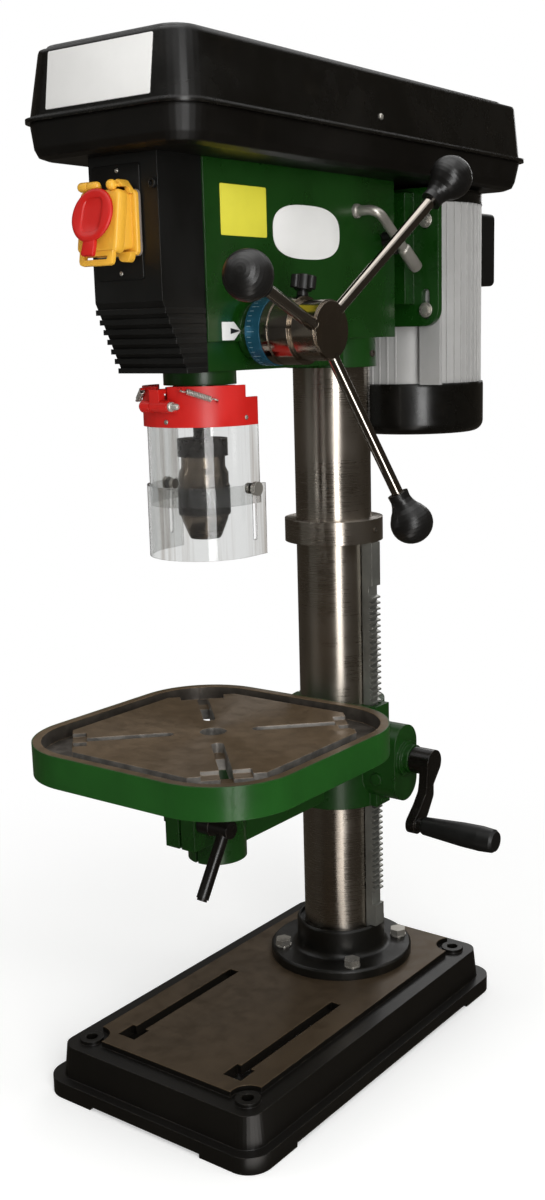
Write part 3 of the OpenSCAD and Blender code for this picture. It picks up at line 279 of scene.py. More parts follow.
def matt_tops(n, spec, coat):
    """Flat tops of a gloss moulding have a matt grain: there its sheen fades."""
    facing = n.add("ShaderNodeTexCoord")
    upward = n.ramp(n.xyz(facing.outputs["Normal"])[2], 0.8, 0.95)
    b = n.bsdf.inputs
    n.put(n.mix(upward, b["Roughness"].links[0].from_socket, 0.62, "FLOAT"), b["Roughness"])
    n.put(n.ramp(upward, 0, 1, spec, 0.06), b["Specular IOR Level"])
    n.put(n.ramp(upward, 0, 1, coat, 0.0), b["Coat Weight"])


paint("green_paint", (15, 54, 10), 0.3, spec=0.4, coat=0.1, coat_rough=0.1, blotch=0.16, grain=420,
      grain_h=0.00012, grain_s=0.3, wave=0.18, edge=0.0016, worn=(60, 84, 44), worn_amount=0.35)

GLOSS_SPEC, GLOSS_COAT = 0.4, 0.1
matt_tops(paint("black_gloss", (8, 7, 5), 0.26, spec=GLOSS_SPEC, coat=GLOSS_COAT, blotch=0.3, grain=700,
                grain_h=0.00008, grain_s=0.35, edge=0.003, worn=(70, 64, 55), worn_amount=0.25, dust=0.02),
          GLOSS_SPEC, GLOSS_COAT)

paint("black_moulded", (9, 7, 5), 0.42, spec=0.35, blotch=0.3, grain=700, grain_h=0.0001, grain_s=0.4,
      edge=0.003, worn=(70, 64, 55), worn_amount=0.25, dust=0.02)
paint("black_plastic", (13, 13, 12), 0.42, spec=0.4, blotch=0.2, grain=900, grain_s=0.4, edge=0.0008,
      worn=(80, 78, 72), worn_amount=0.3)
paint("black_iron", (11, 10, 7), 0.36, spec=0.45, blotch=0.3, grain=260, grain_h=0.0002, grain_s=0.4,
      wave=0.25, edge=0.002, worn=(84, 76, 64), worn_amount=0.3, dust=0.06)
paint("black_steel", (15, 12, 9), 0.3, metal=0.1, spec=0.5, blotch=0.3, grain=420, grain_s=0.35, edge=0.001,
      worn=(104, 88, 72), worn_amount=0.4)
paint("dark_steel", (84, 78, 70), 0.32, metal=0.8, blotch=0.25, grain=500, grain_s=0.2, edge=0.0006,
      worn=(140, 132, 120))
paint("zinc", (176, 172, 164), 0.3, metal=0.75, blotch=0.16, grain=380, grain_s=0.2, edge=0.0005,
      worn=(210, 208, 200))
paint("bright_zinc", (184, 179, 171), 0.24, metal=0.5, blotch=0.1, grain=380, grain_s=0.1, edge=0.0003)
paint("chrome", (150, 143, 135), 0.1, metal=1.0, blotch=0.1, grain=200, grain_s=0.05, edge=0.0006,
      swing=0.04)
paint("hub_steel", (150, 140, 128), 0.16, metal=1.0, blotch=0.12, grain=220, grain_s=0.05, edge=0.0008,
      swing=0.04, stretch=(1800, 20, 20), stretch_s=0.05)
paint("ground_steel", (172, 164, 154), 0.3, metal=1.0, blotch=0.1, blotch_scale=9, grain=500, grain_s=0.04,
      edge=0.0006, stretch=(6, 6, 1500), stretch_s=0.004, specks=(140, 124, 100), aniso=0.85)
paint("rack_steel", (150, 150, 144), 0.36, metal=0.8, blotch=0.22, grain=420, grain_s=0.25, edge=0.0004,
      worn=(196, 194, 186))
paint("chuck_steel", (104, 94, 83), 0.2, metal=1.0, blotch=0.2, grain=420, grain_s=0.08, edge=0.0006,
      worn=(190, 184, 174), stretch=(20, 20, 1400), stretch_s=0.06, aniso=0.5)
paint("chuck_black", (34, 29, 25), 0.26, metal=0.6, blotch=0.22, grain=420, grain_s=0.2, edge=0.0006,
      worn=(120, 110, 98))
paint("black_knob", (17, 16, 15), 0.34, spec=0.4, blotch=0.25, grain=120, grain_s=0.08, edge=0.0006,
      worn=(84, 80, 76), worn_amount=0.3)
paint("yellow_plastic", (229, 172, 56), 0.34, spec=0.4, blotch=0.05, grain=500, grain_s=0.12, edge=0.0006,
      worn=(250, 214, 120), worn_amount=0.3)
paint("red_plastic", (190, 24, 18), 0.34, spec=0.4, blotch=0.07, grain=500, grain_s=0.15, edge=0.0008,
      worn=(236, 96, 80), worn_amount=0.3)
paint("green_plastic", (30, 120, 50), 0.36, spec=0.4, blotch=0.07, grain=500, grain_s=0.15, edge=0.0006)
paint("motor_aluminium", (178, 177, 175), 0.42, metal=0.3, blotch=0.06, grain=500, grain_s=0.12,
      edge=0.0005, worn=(220, 220, 218), stretch=(900, 900, 6), stretch_s=0.12)
paint("blue_aluminium", (40, 98, 124), 0.26, metal=0.6, blotch=0.12, grain=400, grain_s=0.1, edge=0.0005,
      worn=(120, 160, 176), stretch=(2200, 20, 20), stretch_s=0.1)
paint("belt_rubber", (24, 24, 24), 0.7, blotch=0.2, grain=600, grain_s=0.5, edge=0.0004, worn=(60, 60, 58))
paint("white_plate", (228, 227, 224), 0.4, blotch=0.03, grain=300, grain_s=0.08, edge=0.0003,
      worn=(200, 196, 188), worn_amount=0.4, dust=0.02)
paint("yellow_plate", (214, 206, 58), 0.42, blotch=0.05, grain=300, grain_s=0.08, edge=0.0003,
      worn=(190, 180, 90), worn_amount=0.4, dust=0.03)
paint("black_print", (18, 18, 18), 0.45, blotch=0.1, grain=300, grain_s=0.08, edge=0.0002)
paint("tick_print", (138, 164, 172), 0.45, blotch=0.1, grain=300, grain_s=0.08, edge=0.0002)
paint("grey_gasket", (122, 112, 104), 0.6, blotch=0.1, grain=400, grain_s=0.3, edge=0.0004)


def shield_material():
    """Clear plastic, its tint streaked upright with darker bands that are painted reflections."""
    n = paint("clear_plastic", (216, 219, 218), 0.06, spec=0.3, blotch=0.01, grain=60, grain_s=0.04,
              grain_h=0.0002, edge=0.0006, swing=0.03)
    # Upright darker streaks in the tint: painted reflections.
    streaks = n.noise(n.mapped((95, 95, 3), (6, 2, 9)), 1.0, 3, 0.6)
    painted_reflection_tint = n.mix(n.ramp(streaks, 0.5, 0.72, 0, 0.8), lin((221, 222, 221)), lin((158, 150, 142)))
    n.put(painted_reflection_tint, n.bsdf.inputs["Base Color"])
    n.bsdf.inputs["Transmission Weight"].default_value = 1.0
    n.bsdf.inputs["IOR"].default_value = 1.4


shield_material()


def rounded_plan(n, x, y, half_x, half_y, corner):
    """How far a point lies outside a rounded rectangle in plan, less than 0 inside it."""
    qx = n.math("SUBTRACT", n.math("ABSOLUTE", x), half_x - corner)
    qy = n.math("SUBTRACT", n.math("ABSOLUTE", y), half_y - corner)
    beyond = n.length(n.math("MAXIMUM", qx, 0.0), n.math("MAXIMUM", qy, 0.0))
    within = n.math("MINIMUM", n.math("MAXIMUM", qx, qy), 0.0)
    return n.math("SUBTRACT", n.math("ADD", beyond, within), corner)


def turned_top(n, iron, small, x, y, z, top, raised, pale, gutter):
    """A raised octagon with pale slot walls, a darker gutter round it and a sheen that fans out."""
    facing = n.add("ShaderNodeTexCoord")
    wall = n.ramp(n.xyz(facing.outputs["Normal"])[2], 0.9, 0.6)
    mottle = n.ramp(small, 0.35, 0.65)
    ax, ay = n.math("ABSOLUTE", x), n.math("ABSOLUTE", y)
    corner_cut = 1.583  # x + y at a cut corner, as a share of the half width
    across_corner = n.math("DIVIDE", n.math("ADD", ax, ay), corner_cut)
    octagon = n.math("MAXIMUM", n.math("MAXIMUM", ax, ay), across_corner)
    centre_part = n.ramp(octagon, raised + 0.0014, raised + 0.0006)
    walls = n.math("MULTIPLY", wall, centre_part)
    iron = n.mix(walls, iron, n.mix(mottle, lin(pale, 0.75), lin(pale)))
    low = n.math("MULTIPLY", n.math("SUBTRACT", 1.0, centre_part), n.ramp(z, top - 0.0004, top - 0.0008))
    iron = n.mix(low, iron, n.mix(mottle, lin(gutter, 0.8), lin(gutter)))
    n.put(n.joined(x, y), n.bsdf.inputs["Tangent"])
    n.bsdf.inputs["Anisotropic"].default_value = 0.8
    n.bsdf.inputs["Anisotropic Rotation"].default_value = 0.25
    return iron


def machined(name, colour, under, bare_z, half_x, half_y, centre_y, corner, rough, streaks=None, **turned):
    """Bare machined iron inside a rounded outline and above a height, paint everywhere else.

    under is the paint's colour, its worn colour and its roughness. The iron is drawn out along streaks, or
    else turned round the centre.
    """
    n = Nodes(name)
    x, y, z = n.xyz()
    y = n.math("SUBTRACT", y, centre_y)
    ragged = n.math("MULTIPLY", n.math("SUBTRACT", n.noise(n.mapped(), 120, 4, 0.6), 0.5), 0.0012)
    border = n.math("ADD", rounded_plan(n, x, y, half_x, half_y, corner), ragged)
    bare = n.math("MULTIPLY", n.ramp(border, 0.0003, -0.0003), n.ramp(z, bare_z - 0.0004, bare_z))

    big = n.noise(n.mapped(), 9, 5, 0.6)
    small = n.noise(n.mapped(loc=(4, 4, 4)), 60, 6, 0.65)
    base = lin(colour)
    light = shade(base, 1.2)
    clouds = n.math("ADD", n.math("MULTIPLY", big, 0.6), n.math("MULTIPLY", small, 0.4))
    iron = n.mix(n.ramp(clouds, 0.35, 0.65), shade(base, 0.78), light)
    if streaks:
        lines = n.noise(n.mapped(streaks), 1.0, 4, 0.7)
    else:
        lines = n.noise(n.joined(n.math("MULTIPLY", n.length(x, y), 1400.0)), 1.0, 3, 0.6)
    iron = n.mix(n.ramp(lines, 0.3, 0.75, 0, 0.3), iron, light)
    spots = n.noise(n.mapped(loc=(8, 1, 6)), 34, 8, 0.75)
    iron = n.mix(n.ramp(spots, 0.6, 0.75, 0, 0.5), iron, lin(colour, 0.62))
    if turned:
        iron = turned_top(n, iron, small, x, y, z, **turned)
    sharp, rounded = n.edges(0.0012)
    iron = n.mix(n.math("MULTIPLY", sharp, 0.5), iron, lin(colour, 1.5))

    coat, worn, coat_rough = under
    painted = n.mix(n.ramp(big, 0.3, 0.7), shade(lin(coat), 0.85), shade(lin(coat), 1.18))
    chips = n.noise(n.mapped(loc=(7, 7, 2)), 150, 6, 0.7)
    painted = n.mix(n.math("MULTIPLY", sharp, n.ramp(chips, 0.48, 0.6, 0, 0.35)), painted, lin(worn))
    grain = n.noise(n.mapped(loc=(3, 1, 7)), 300, 3, 0.6)
    soft = n.noise(n.mapped(loc=(9, 2, 4)), 45, 2, 0.5)
    cast = n.bump(grain, 0.35, 0.00015, n.bump(soft, 0.22, 0.0008, rounded))
    cut = n.bump(lines, 0.22, 0.00005, n.bump(small, 0.08, 0.0003, rounded))
    s = n.bsdf.inputs
    n.put(n.mix(bare, painted, iron), s["Base Color"])
    n.put(n.math("MULTIPLY", bare, 0.4), s["Metallic"])
    rough_iron = n.ramp(small, 0.3, 0.7, rough - 0.06, rough + 0.08)
    n.put(n.mix(bare, coat_rough, rough_iron, "FLOAT"), s["Roughness"])
    n.put(n.mix(bare, cast, cut, "VECTOR"), s["Normal"])
    s["Specular IOR Level"].default_value = 0.4


# Building in mesh code, in millimetres


def finish_mesh(name, bm, mat, body, replaces=None, angle=38, slot=None):
    """Turns a mesh in millimetres into a piece that rides on a body."""
    bmesh.ops.remove_doubles(bm, verts=bm.verts, dist=1e-4)
    bmesh.ops.recalc_face_normals(bm, faces=bm.faces)
    for v in bm.verts:
        v.co *= MM
    for f in bm.faces:
        f.smooth = True
    limit = math.radians(angle)
    for e in bm.edges:
        e.smooth = not (len(e.link_faces) == 2 and e.calc_face_angle(0) > limit)
    me = bpy.data.meshes.new(name)
    bm.to_mesh(me)
    bm.free()
    o = add_object(name, me)
    me.materials.append(M[mat])
    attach(o, body)
    if replaces:
        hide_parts(replaces)


def basis(axis):
    """The axis and two directions square to it, all of length 1."""
    n = Vector(axis).normalized()
    h = Vector((0, 0, 1)) if abs(n.z) < 0.9 else Vector((1, 0, 0))
    u = (h - h.dot(n) * n).normalized()
    return n, u, n.cross(u)


def circle(count, shift=0.0):
    """Cosine and sine of equal steps round a circle, the first at shift steps."""
    angles = [2 * math.pi * (k + shift) / count for k in range(count)]
    return [(math.cos(a), math.sin(a)) for a in angles]


def join_rings(bm, rings, looped=False):
    """Faces from ring to ring, and from the last to the first if looped, or else a cap at each end."""
    for a, b in zip(rings, rings[1:] + rings[:1] if looped else rings[1:]):
        for k in range(len(a)):
            k2 = (k + 1) % len(a)
            bm.faces.new((a[k], a[k2], b[k2], b[k]))
    if not looped:
        bm.faces.new(rings[0][::-1])
        bm.faces.new(rings[-1])


def add_lathe(bm, at, axis, profile, segs=40):
    """A turned form from (radius, height) pairs, closed at both ends where the radius is not 0."""
    n, u, v = basis(axis)
    at = Vector(at)
    rings = []
    for r, h in profile:
        if r < 1e-6:
            rings.append([bm.verts.new(at + n * h)])
        else:
            rings.append([bm.verts.new(at + n * h + r * (c * u + s * v)) for c, s in circle(segs)])
    for a, b in zip(rings, rings[1:]):
        for k in range(segs):
            k2 = (k + 1) % segs
            if len(a) == 1 and len(b) == 1:
                continue
            if len(a) == 1:
                bm.faces.new((a[0], b[k], b[k2]))
            elif len(b) == 1:
                bm.faces.new((a[k], b[0], a[k2]))
            else:
                bm.faces.new((a[k], b[k], b[k2], a[k2]))
    for ring in (rings[0], rings[-1]):
        if len(ring) > 1:
            bm.faces.new(ring)


def lathe(name, at, axis, profile, mat, body):
    bm = bmesh.new()
    add_lathe(bm, at, axis, profile, 32)
    finish_mesh(name, bm, mat, body)


def add_slab(bm, at, u, v, outline, t, rim):
    """A plate of an outline in (u, v), standing t proud along u x v, with a chamfered rim."""
    at, u, v = Vector(at), Vector(u).normalized(), Vector(v).normalized()
    n = u.cross(v)
    c = (sum(p[0] for p in outline) / len(outline), sum(p[1] for p in outline) / len(outline))

    def ring(h, inset):
        verts = []
        for p in outline:
            d = Vector((p[0] - c[0], p[1] - c[1]))
            k = 1 - inset / max(d.length, 1e-6)
            verts.append(bm.verts.new(at + u * (c[0] + d.x * k) + v * (c[1] + d.y * k) + n * h))
        return verts

    join_rings(bm, [ring(0, 0), ring(t - rim, 0), ring(t - rim * 0.3, rim * 0.3), ring(t, rim)])


def slab(name, at, u, v, outline, t, mat, body, rim, **kw):
    bm = bmesh.new()
    add_slab(bm, at, u, v, outline, t, rim)
    finish_mesh(name, bm, mat, body, **kw)


def round_rect(x0, x1, y0, y1, r, n=8):
    corners = ((x1 - r, y1 - r, 0), (x0 + r, y1 - r, 90), (x0 + r, y0 + r, 180), (x1 - r, y0 + r, 270))
    pts = []
    for cx, cy, start in corners:
        for k in range(n + 1):
            a = math.radians(start + 90 * k / n)
            pts.append((cx + r * math.cos(a), cy + r * math.sin(a)))
    return pts


def add_tube(bm, pts, radius, sides):
    """A round tube along points, its frame carried from ring to ring."""
    pts = [Vector(p) for p in pts]
    rings, u = [], None
    for i, p in enumerate(pts):
        t = (pts[min(i + 1, len(pts) - 1)] - pts[max(i - 1, 0)]).normalized()
        if u is None:
            u = basis(t)[1]
        u = (u - u.dot(t) * t).normalized()
        v = t.cross(u)
        rings.append([bm.verts.new(p + radius * (c * u + s * v)) for c, s in circle(sides)])
    join_rings(bm, rings)


def add_screw(bm, at, axis, r, kind):
    """A screw head of radius r: a domed head with a recess, a socket head or a hexagon on a washer."""
    h = r * 0.7
    profiles = {
        "pan": [(1, 0), (1, 0.35), (0.9, 0.7), (0.62, 0.95), (0.3, 1), (0.22, 0.55), (0, 0.5)],
        "socket": [(1, 0), (1, 0.8), (0.9, 1), (0.56, 1), (0.5, 0.9), (0.5, 0.3), (0, 0.25)],
        "hex": [(1.05, 0), (1.05, 0.22), (1, 0.28), (0.86, 0.28)],
    }
    add_lathe(bm, at, axis, [(r * out, h * up) for out, up in profiles[kind]], 24)
    if kind == "hex":
        n, u, v = basis(axis)
        rings = [[bm.verts.new(Vector(at) + n * h * up + r * out * (c * u + s * v)) for c, s in circle(6)]
                 for out, up in ((0.84, 0.2), (0.84, 0.9), (0.72, 1), (0.3, 1.02))]
        join_rings(bm, rings)


def screws(name, places, mat, body, **kw):
    bm = bmesh.new()
    for place in places:
        add_screw(bm, *place)
    finish_mesh(name, bm, mat, body, **kw)


# Finishes of the CAD nodes

TABLE_LO, TABLE_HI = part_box("table")
BASE_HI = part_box("base")[1]
TABLE_BARE = TABLE_HI.z - 0.027  # the table's iron is bare above this height, which takes in the gutter
RIM = 0.0012  # the paint that laps over the table's edge

# The machined outlines in metres: half the width and half the length, the centre in y and the corner
TABLE_OUTLINE = (TABLE_HI.x - RIM, TABLE_HI.x - RIM, (TABLE_LO.y + TABLE_HI.y) / 2, 0.0765)
BASE_OUTLINE = (0.102, 0.2, 0.004, 0.001)
machined("table_iron", (100, 83, 62), ((24, 72, 21), (96, 100, 70), 0.32), TABLE_BARE, *TABLE_OUTLINE, 0.36,
         top=TABLE_HI.z, raised=0.12, pale=(134, 130, 124), gutter=(82, 76, 69))
machined("base_iron", (76, 63, 47), ((14, 12, 9), (84, 74, 60), 0.36), BASE_HI.z - 0.0004, *BASE_OUTLINE, 0.4,
         (160, 8, 160))

FINISH = {
    "base_iron": ("base",),
    "table_iron": ("table",),
    "green_paint": ("table_bracket", "bracket_bolts", "table_arm", "head_casting", "motor_plate"),
    "black_iron": ("column_flange",),
    "ground_steel": ("column", "ring_collar", "quill", "feed_shaft", "slide_bars"),
    "rack_steel": ("rack",),
    "dark_steel": ("worm_shaft", "lift_gear", "return_spring", "motor_stator", "motor_rotor", "idler_post"),
    "black_steel": ("crank_arm", "column_lock_lever", "table_lock_lever"),
    "zinc": ("flange_bolts", "spindle_bearings", "guard_springs", "guard_screws"),
    "black_plastic": ("crank_grip", "front_cover", "capacitor_box"),
    "yellow_plastic": ("switch_housing", "switch_flap"),
    "red_plastic": ("stop_paddle", "off_button", "guard_clamp", "guard_collar"),
    "green_plastic": ("on_button",),
    "black_moulded": ("belt_pan", "pan_hinges"),
    "black_gloss": ("lid", "motor_end_caps"),
    "hub_steel": ("spring_cup", "feed_hub"),
    "clear_plastic": ("upper_shield", "lower_shield"),
    "chuck_black": ("spindle", "chuck_body"),
    "chuck_steel": ("chuck_sleeve", "chuck_jaws"),
    "chrome": ("feed_arms", "tension_lever"),
    "black_knob": ("feed_knobs", "depth_lock_knob", "slide_knob"),
    "blue_aluminium": ("depth_ring",),
    "motor_aluminium": ("motor_housing", "motor_pulley", "idler_pulley", "spindle_pulley"),
    "belt_rubber": ("drive_belts",),
}
for finish, names in FINISH.items():
    for name in names:
        NODES[name].data.materials.clear()
        NODES[name].data.materials.append(M[finish])


# Guard springs: the CAD's route with more sides and a finer curl

TURNS, WIRE, COIL_R, PITCH = 15, 0.62, 2.15, 1.5


def spring_route():
    bend, run, length = 1.0, 2.6, TURNS * PITCH
    hook = [(-bend - run - COIL_R * math.sin(math.radians(f)), -bend, -COIL_R * math.cos(math.radians(f)))
            for f in range(270, -1, -15)]
    turn_in = [(-bend * math.sin(math.radians(f)), -bend * (1 - math.cos(math.radians(f))), -COIL_R)
               for f in (90, 60, 30)]
    first = hook + turn_in
    steps = 16
    coil = [(length * i / (steps * TURNS), COIL_R * math.sin(2 * math.pi * i / steps),
             -COIL_R * math.cos(2 * math.pi * i / steps)) for i in range(steps * TURNS + 1)]
    last = [(length - p[0], -p[1], p[2]) for p in reversed(first)]
    return [Vector(p) for p in first + coil + last]


def guard_springs():
    route, reach = spring_route(), GUARD_R + 5
    upper, lower = (math.radians(68), -11), (math.radians(34), -22.5)
    bm = bmesh.new()
    for side in (-1, 1):
        p, q = (Vector(head(side * reach * math.cos(a), -reach * math.sin(a), z)) for a, z in (upper, lower))
        d = q - p
        over = (d.length - TURNS * PITCH) / 2
        m = (Matrix.Translation(p) @ Matrix.Rotation(math.atan2(d.y, d.x), 4, "Z")
             @ Matrix.Rotation(math.asin(-d.z / d.length), 4, "Y")
             @ Matrix.Rotation(math.radians(90 * side), 4, "X") @ Matrix.Translation((over, 0, 0)))
        add_tube(bm, [m @ x for x in route], WIRE, 10)
    finish_mesh("guard_spring_coils", bm, "bright_zinc", BODY["guard_springs"], "guard_springs", 60, "zinc")


guard_springs()


def return_spring():
    """A flat strip wound round the feed shaft inside its cup."""
    bm = bmesh.new()
    x0, x1, inner, outer, thick = -59.2, -49.0, 12.2, 26.4, 0.8
    turns, per_turn = 6, 44
    steps = per_turn * turns
    rings = []
    for i in range(steps + 1):
        a = 2 * math.pi * i / per_turn
        r = inner + (outer - inner) * i / steps
        c, s = math.cos(a), math.sin(a)
        rings.append([bm.verts.new((x, HUB_Y + rr * c, HUB_Z + rr * s))
                      for x, rr in ((x0, r), (x1, r), (x1, r + thick), (x0, r + thick))])
    join_rings(bm, rings)
    finish_mesh("return_spring_strip", bm, "dark_steel", BODY["return_spring"], "return_spring")


return_spring()


def belt_route(ra, ya, rb, yb):
    """Points and outward directions round two pulleys of radius ra at ya and rb at yb."""
    s = (ra - rb) / (yb - ya)
    c = math.sqrt(1 - s * s)
    a0 = math.asin(s)
    pts = []

    def arc(cy, r, start, end, count):
        for i in range(count):
            a = start + (end - start) * i / count
            pts.append((r * math.cos(a), cy + r * math.sin(a), math.cos(a), math.sin(a)))

    def straight(side, r, cy, r_end, cy_end, count=40):
        for i in range(count):
            t = i / count
            across = r + (r_end - r) * t
            pts.append((side * across * c, cy + (cy_end - cy) * t + across * s, side * c, s))

    arc(ya, ra, math.pi - a0, 2 * math.pi + a0, 72)
    straight(1, ra, ya, rb, yb)
    arc(yb, rb, a0, math.pi - a0, 60)
    straight(-1, rb, yb, ra, ya)
    return pts


def belts():
    """Two V-belts with cogs on their inner side."""
    bm = bmesh.new()
    idler_y, motor_y, pulley_z, step = 190.0, 376.0, 192.0, 12.0
    for k, pulleys in ((1, (50, idler_y, 40, motor_y)), (2, (50, 0, 42, idler_y))):
        z = pulley_z + (k + 0.5) * step
        rings = []
        for i, (x, y, nx, ny) in enumerate(belt_route(*pulleys)):
            deep = 6.4 if i % 4 < 2 else 4.6
            section = ((0.9, -3.9), (0.9, 3.9), (-1.4, 3.7), (-deep, 2.1), (-deep, -2.1), (-1.4, -3.7))
            rings.append([bm.verts.new(head(x + nx * d, y + ny * d, z + h)) for d, h in section])
        join_rings(bm, rings, looped=True)
    finish_mesh("v_belts", bm, "belt_rubber", BODY["drive_belts"], "drive_belts", 50, "belt_rubber")


belts()


# Switch: plate, screws, gasket, housing, hinged flap and stop disc

PLATE_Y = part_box("front_cover")[0].y / MM
slab("switch_plate", (0, PLATE_Y, 0), (1, 0, 0), (0, 0, 1), round_rect(-34, 20, 788, 882, 3), 1.3,
     "black_plastic", "frame", rim=0.5, slot="black_plastic")
screws("switch_screws", [((-5, PLATE_Y - 1.3, z), (0, -1, 0), 1.9, "pan") for z in (877, 793.5)],
       "zinc", "frame", slot="zinc")
screws("cover_plug", [((34.0, PLATE_Y, 864.5), (0, -1, 0), 4.2, "socket")], "black_plastic", "frame")

SWITCH = Matrix.Translation((-6.5, PLATE_Y, HEAD_Z))
SIDEWAYS = Matrix.Rotation(math.radians(90), 4, "Z")
HINGE_Y, HINGE_Z = -22, 157.5
FLAP_OPEN = math.radians(9)
FLAP = (SWITCH @ Matrix.Translation((0, HINGE_Y, HINGE_Z)) @ Matrix.Rotation(-FLAP_OPEN, 4, "X")
        @ Matrix.Translation((0, -HINGE_Y, -HINGE_Z)))


def add_tray(bm, m, outline, profile, looped=False):
    """Rings of one rounded rectangle (x0, x1, z0, z1, r), each inset and set at its own depth y."""
    x0, x1, z0, z1, r = outline
    rings = []
    for inset, y in profile:
        pts = round_rect(x0 + inset, x1 - inset, z0 + inset, z1 - inset, max(r - inset, 0.4), 6)
        rings.append([bm.verts.new(m @ Vector((x, y, z))) for x, z in pts])
    join_rings(bm, rings, looped)


def add_bored_plate(bm, m, box, centre, r, y0, y1):
    """A rectangle (x0, x1, z0, z1) from depth y0 to y1, with one bore through it."""
    x0, x1, z0, z1 = box
    rings = [[], [], [], []]
    for c, s in circle(48, 0.5):
        reach = min((x1 - centre[0] if c > 0 else centre[0] - x0) / abs(c),
                    (z1 - centre[1] if s > 0 else centre[1] - z0) / abs(s))
        for ring, rr, y in zip(rings, (reach, r, r, reach), (y0, y0, y1, y1)):
            ring.append(bm.verts.new(m @ Vector((centre[0] + c * rr, y, centre[1] + s * rr))))
    join_rings(bm, rings, looped=True)


def add_knuckle(bm, m, x0, x1, r, left, right):
    """A hinge barrel along x on the flap's axis, its ends rounded by left and right."""
    w = x1 - x0
    profile = [(r - left, 0), (r - 0.3 * left, 0.35 * left), (r, left), (r, w - right),
               (r - 0.3 * right, w - 0.35 * right), (r - right, w)]
    add_lathe(bm, m @ Vector((x0, HINGE_Y, HINGE_Z)), (1, 0, 0), profile, 32)


def switch_gasket():
    bm = bmesh.new()
    add_tray(bm, SWITCH, (-27.5, 27.1, 101, 155, 5),
             [(0, -1.3), (0, -2.8), (0.3, -3.1), (5, -3.1), (5, -1.3)], looped=True)
    finish_mesh("switch_gasket", bm, "grey_gasket", "frame")


def switch_body():
    """The housing: a flange, the box round the buttons, the fixed knuckles and the catch below."""
    bm = bmesh.new()
    add_tray(bm, SWITCH, (-26.3, 26.3, 101.5, 154.5, 4.5),
             [(0, -3), (0, -5), (0.35, -6), (1.2, -6.7), (2.4, -7), (7.4, -7), (7.4, -3)], looped=True)
    add_tray(bm, SWITCH, (-21.3, 21.3, 105.8, 152.5, 4),
             [(0, -5), (0, -15.6), (0.3, -16.5), (1, -17), (2, -17), (2.4, -16.6), (2.6, -13.4), (2.6, -5)],
             looped=True)
    for x0, x1, bore_x in ((-20.2, 0, -10), (0, 20.2, 10)):
        add_bored_plate(bm, SWITCH, (x0, x1, 106.9, 151.4), (bore_x, 130), 7.9, -13.4, -11.9)
    add_knuckle(bm, SWITCH, -22.5, -11.2, 4.0, 2.6, 0.5)
    add_knuckle(bm, SWITCH, 11.2, 18.5, 4.2, 1.6, 2.4)
    for x0, x1 in ((-22.2, -11.2), (11.2, 18.8)):
        ends = [(0.6, -x1), (0, -x1 + 0.6), (0, -x0 - 0.6), (0.6, -x0)]
        add_tray(bm, SWITCH @ SIDEWAYS, (-21.5, -9, 156, 158.6, 0.8), ends)
        add_tray(bm, SWITCH @ SIDEWAYS, (-10.4, -6.4, 150, 158.6, 0.8), ends)
    crest = [(20.6, 158.6), (18.6, 161.2), (16.8, 162.2), (14.6, 162.2), (12.4, 161), (11.2, 158.6)]
    catch = [(9, 105), (9, 99), (10.4, 97.2), (12, 96.4), (18.5, 95.8), (20.6, 96.6), (22.4, 99.2),
             (24, 104.2)]
    for y, outline, t, rim in ((-6, [(11.2, 151), (24.5, 151), (24, 154.4)] + crest, 4.4, 0.9),
                               (-10.2, [(11.2, 156), (22.8, 156)] + crest, 7, 1.2), (-6, catch, 6.4, 1.2)):
        add_slab(bm, SWITCH @ Vector((0, y, 0)), (1, 0, 0), (0, 0, 1), outline, t, rim)
    finish_mesh("switch_body", bm, "yellow_plastic", BODY["switch_housing"], "switch_housing", 40,
                "yellow_plastic")


def mirrored(half):
    """A left-hand run of points, from top to bottom, and its mirror image on the right."""
    return half + [(-x, z) for x, z in reversed(half)]


def flap_cover():
    """The open-backed flap with its skirts, hinge knuckle and the slotted latch loop below."""
    bm = bmesh.new()
    add_tray(bm, FLAP, (-23, 23, 103.5, 155, 5),
             [(1.3, -20.2), (1.3, -11.6), (1.0, -11), (0.3, -11), (0, -11.4), (0, -17.6), (0.25, -19),
              (0.9, -20.3), (1.9, -21.1), (3.4, -21.5)])
    add_knuckle(bm, FLAP, -10.8, 1.5, 3.8, 0.4, 3.2)
    add_tray(bm, FLAP @ SIDEWAYS, (-22, -18.5, 150, 157, 1), [(0.6, 2.6), (0, 3.6), (0, 10.4), (0.6, 10.8)])
    loop = mirrored([(-19.5, 104.5), (-19.5, 97), (-18.4, 94.2), (-15.6, 93)])
    hole = mirrored([(-13.4, 100.4), (-13.4, 98.6), (-13, 97.9), (-12.2, 97.6)])
    rings = []
    for inset, y in ((0.8, -16.4), (0, -17), (0, -20.2), (0.9, -21.1)):
        rings.append([bm.verts.new(FLAP @ Vector((x * (1 - inset / 20), y, z + (inset if z < 99 else 0))))
                      for x, z in loop])
    for y in (-21.1, -16.4):
        rings.append([bm.verts.new(FLAP @ Vector((x, y, z))) for x, z in hole])
    join_rings(bm, rings, looped=True)
    finish_mesh("flap_cover", bm, "yellow_plastic", BODY["switch_flap"], "switch_flap", 42, "yellow_plastic")


def oval(half_w, half_h, count, power, shift=0.0):
    """Points of an oval, which a power below 1 makes squarer."""
    return [(math.copysign(abs(c) ** power, c) * half_w, math.copysign(abs(s) ** power, s) * half_h)
            for c, s in circle(count, shift)]


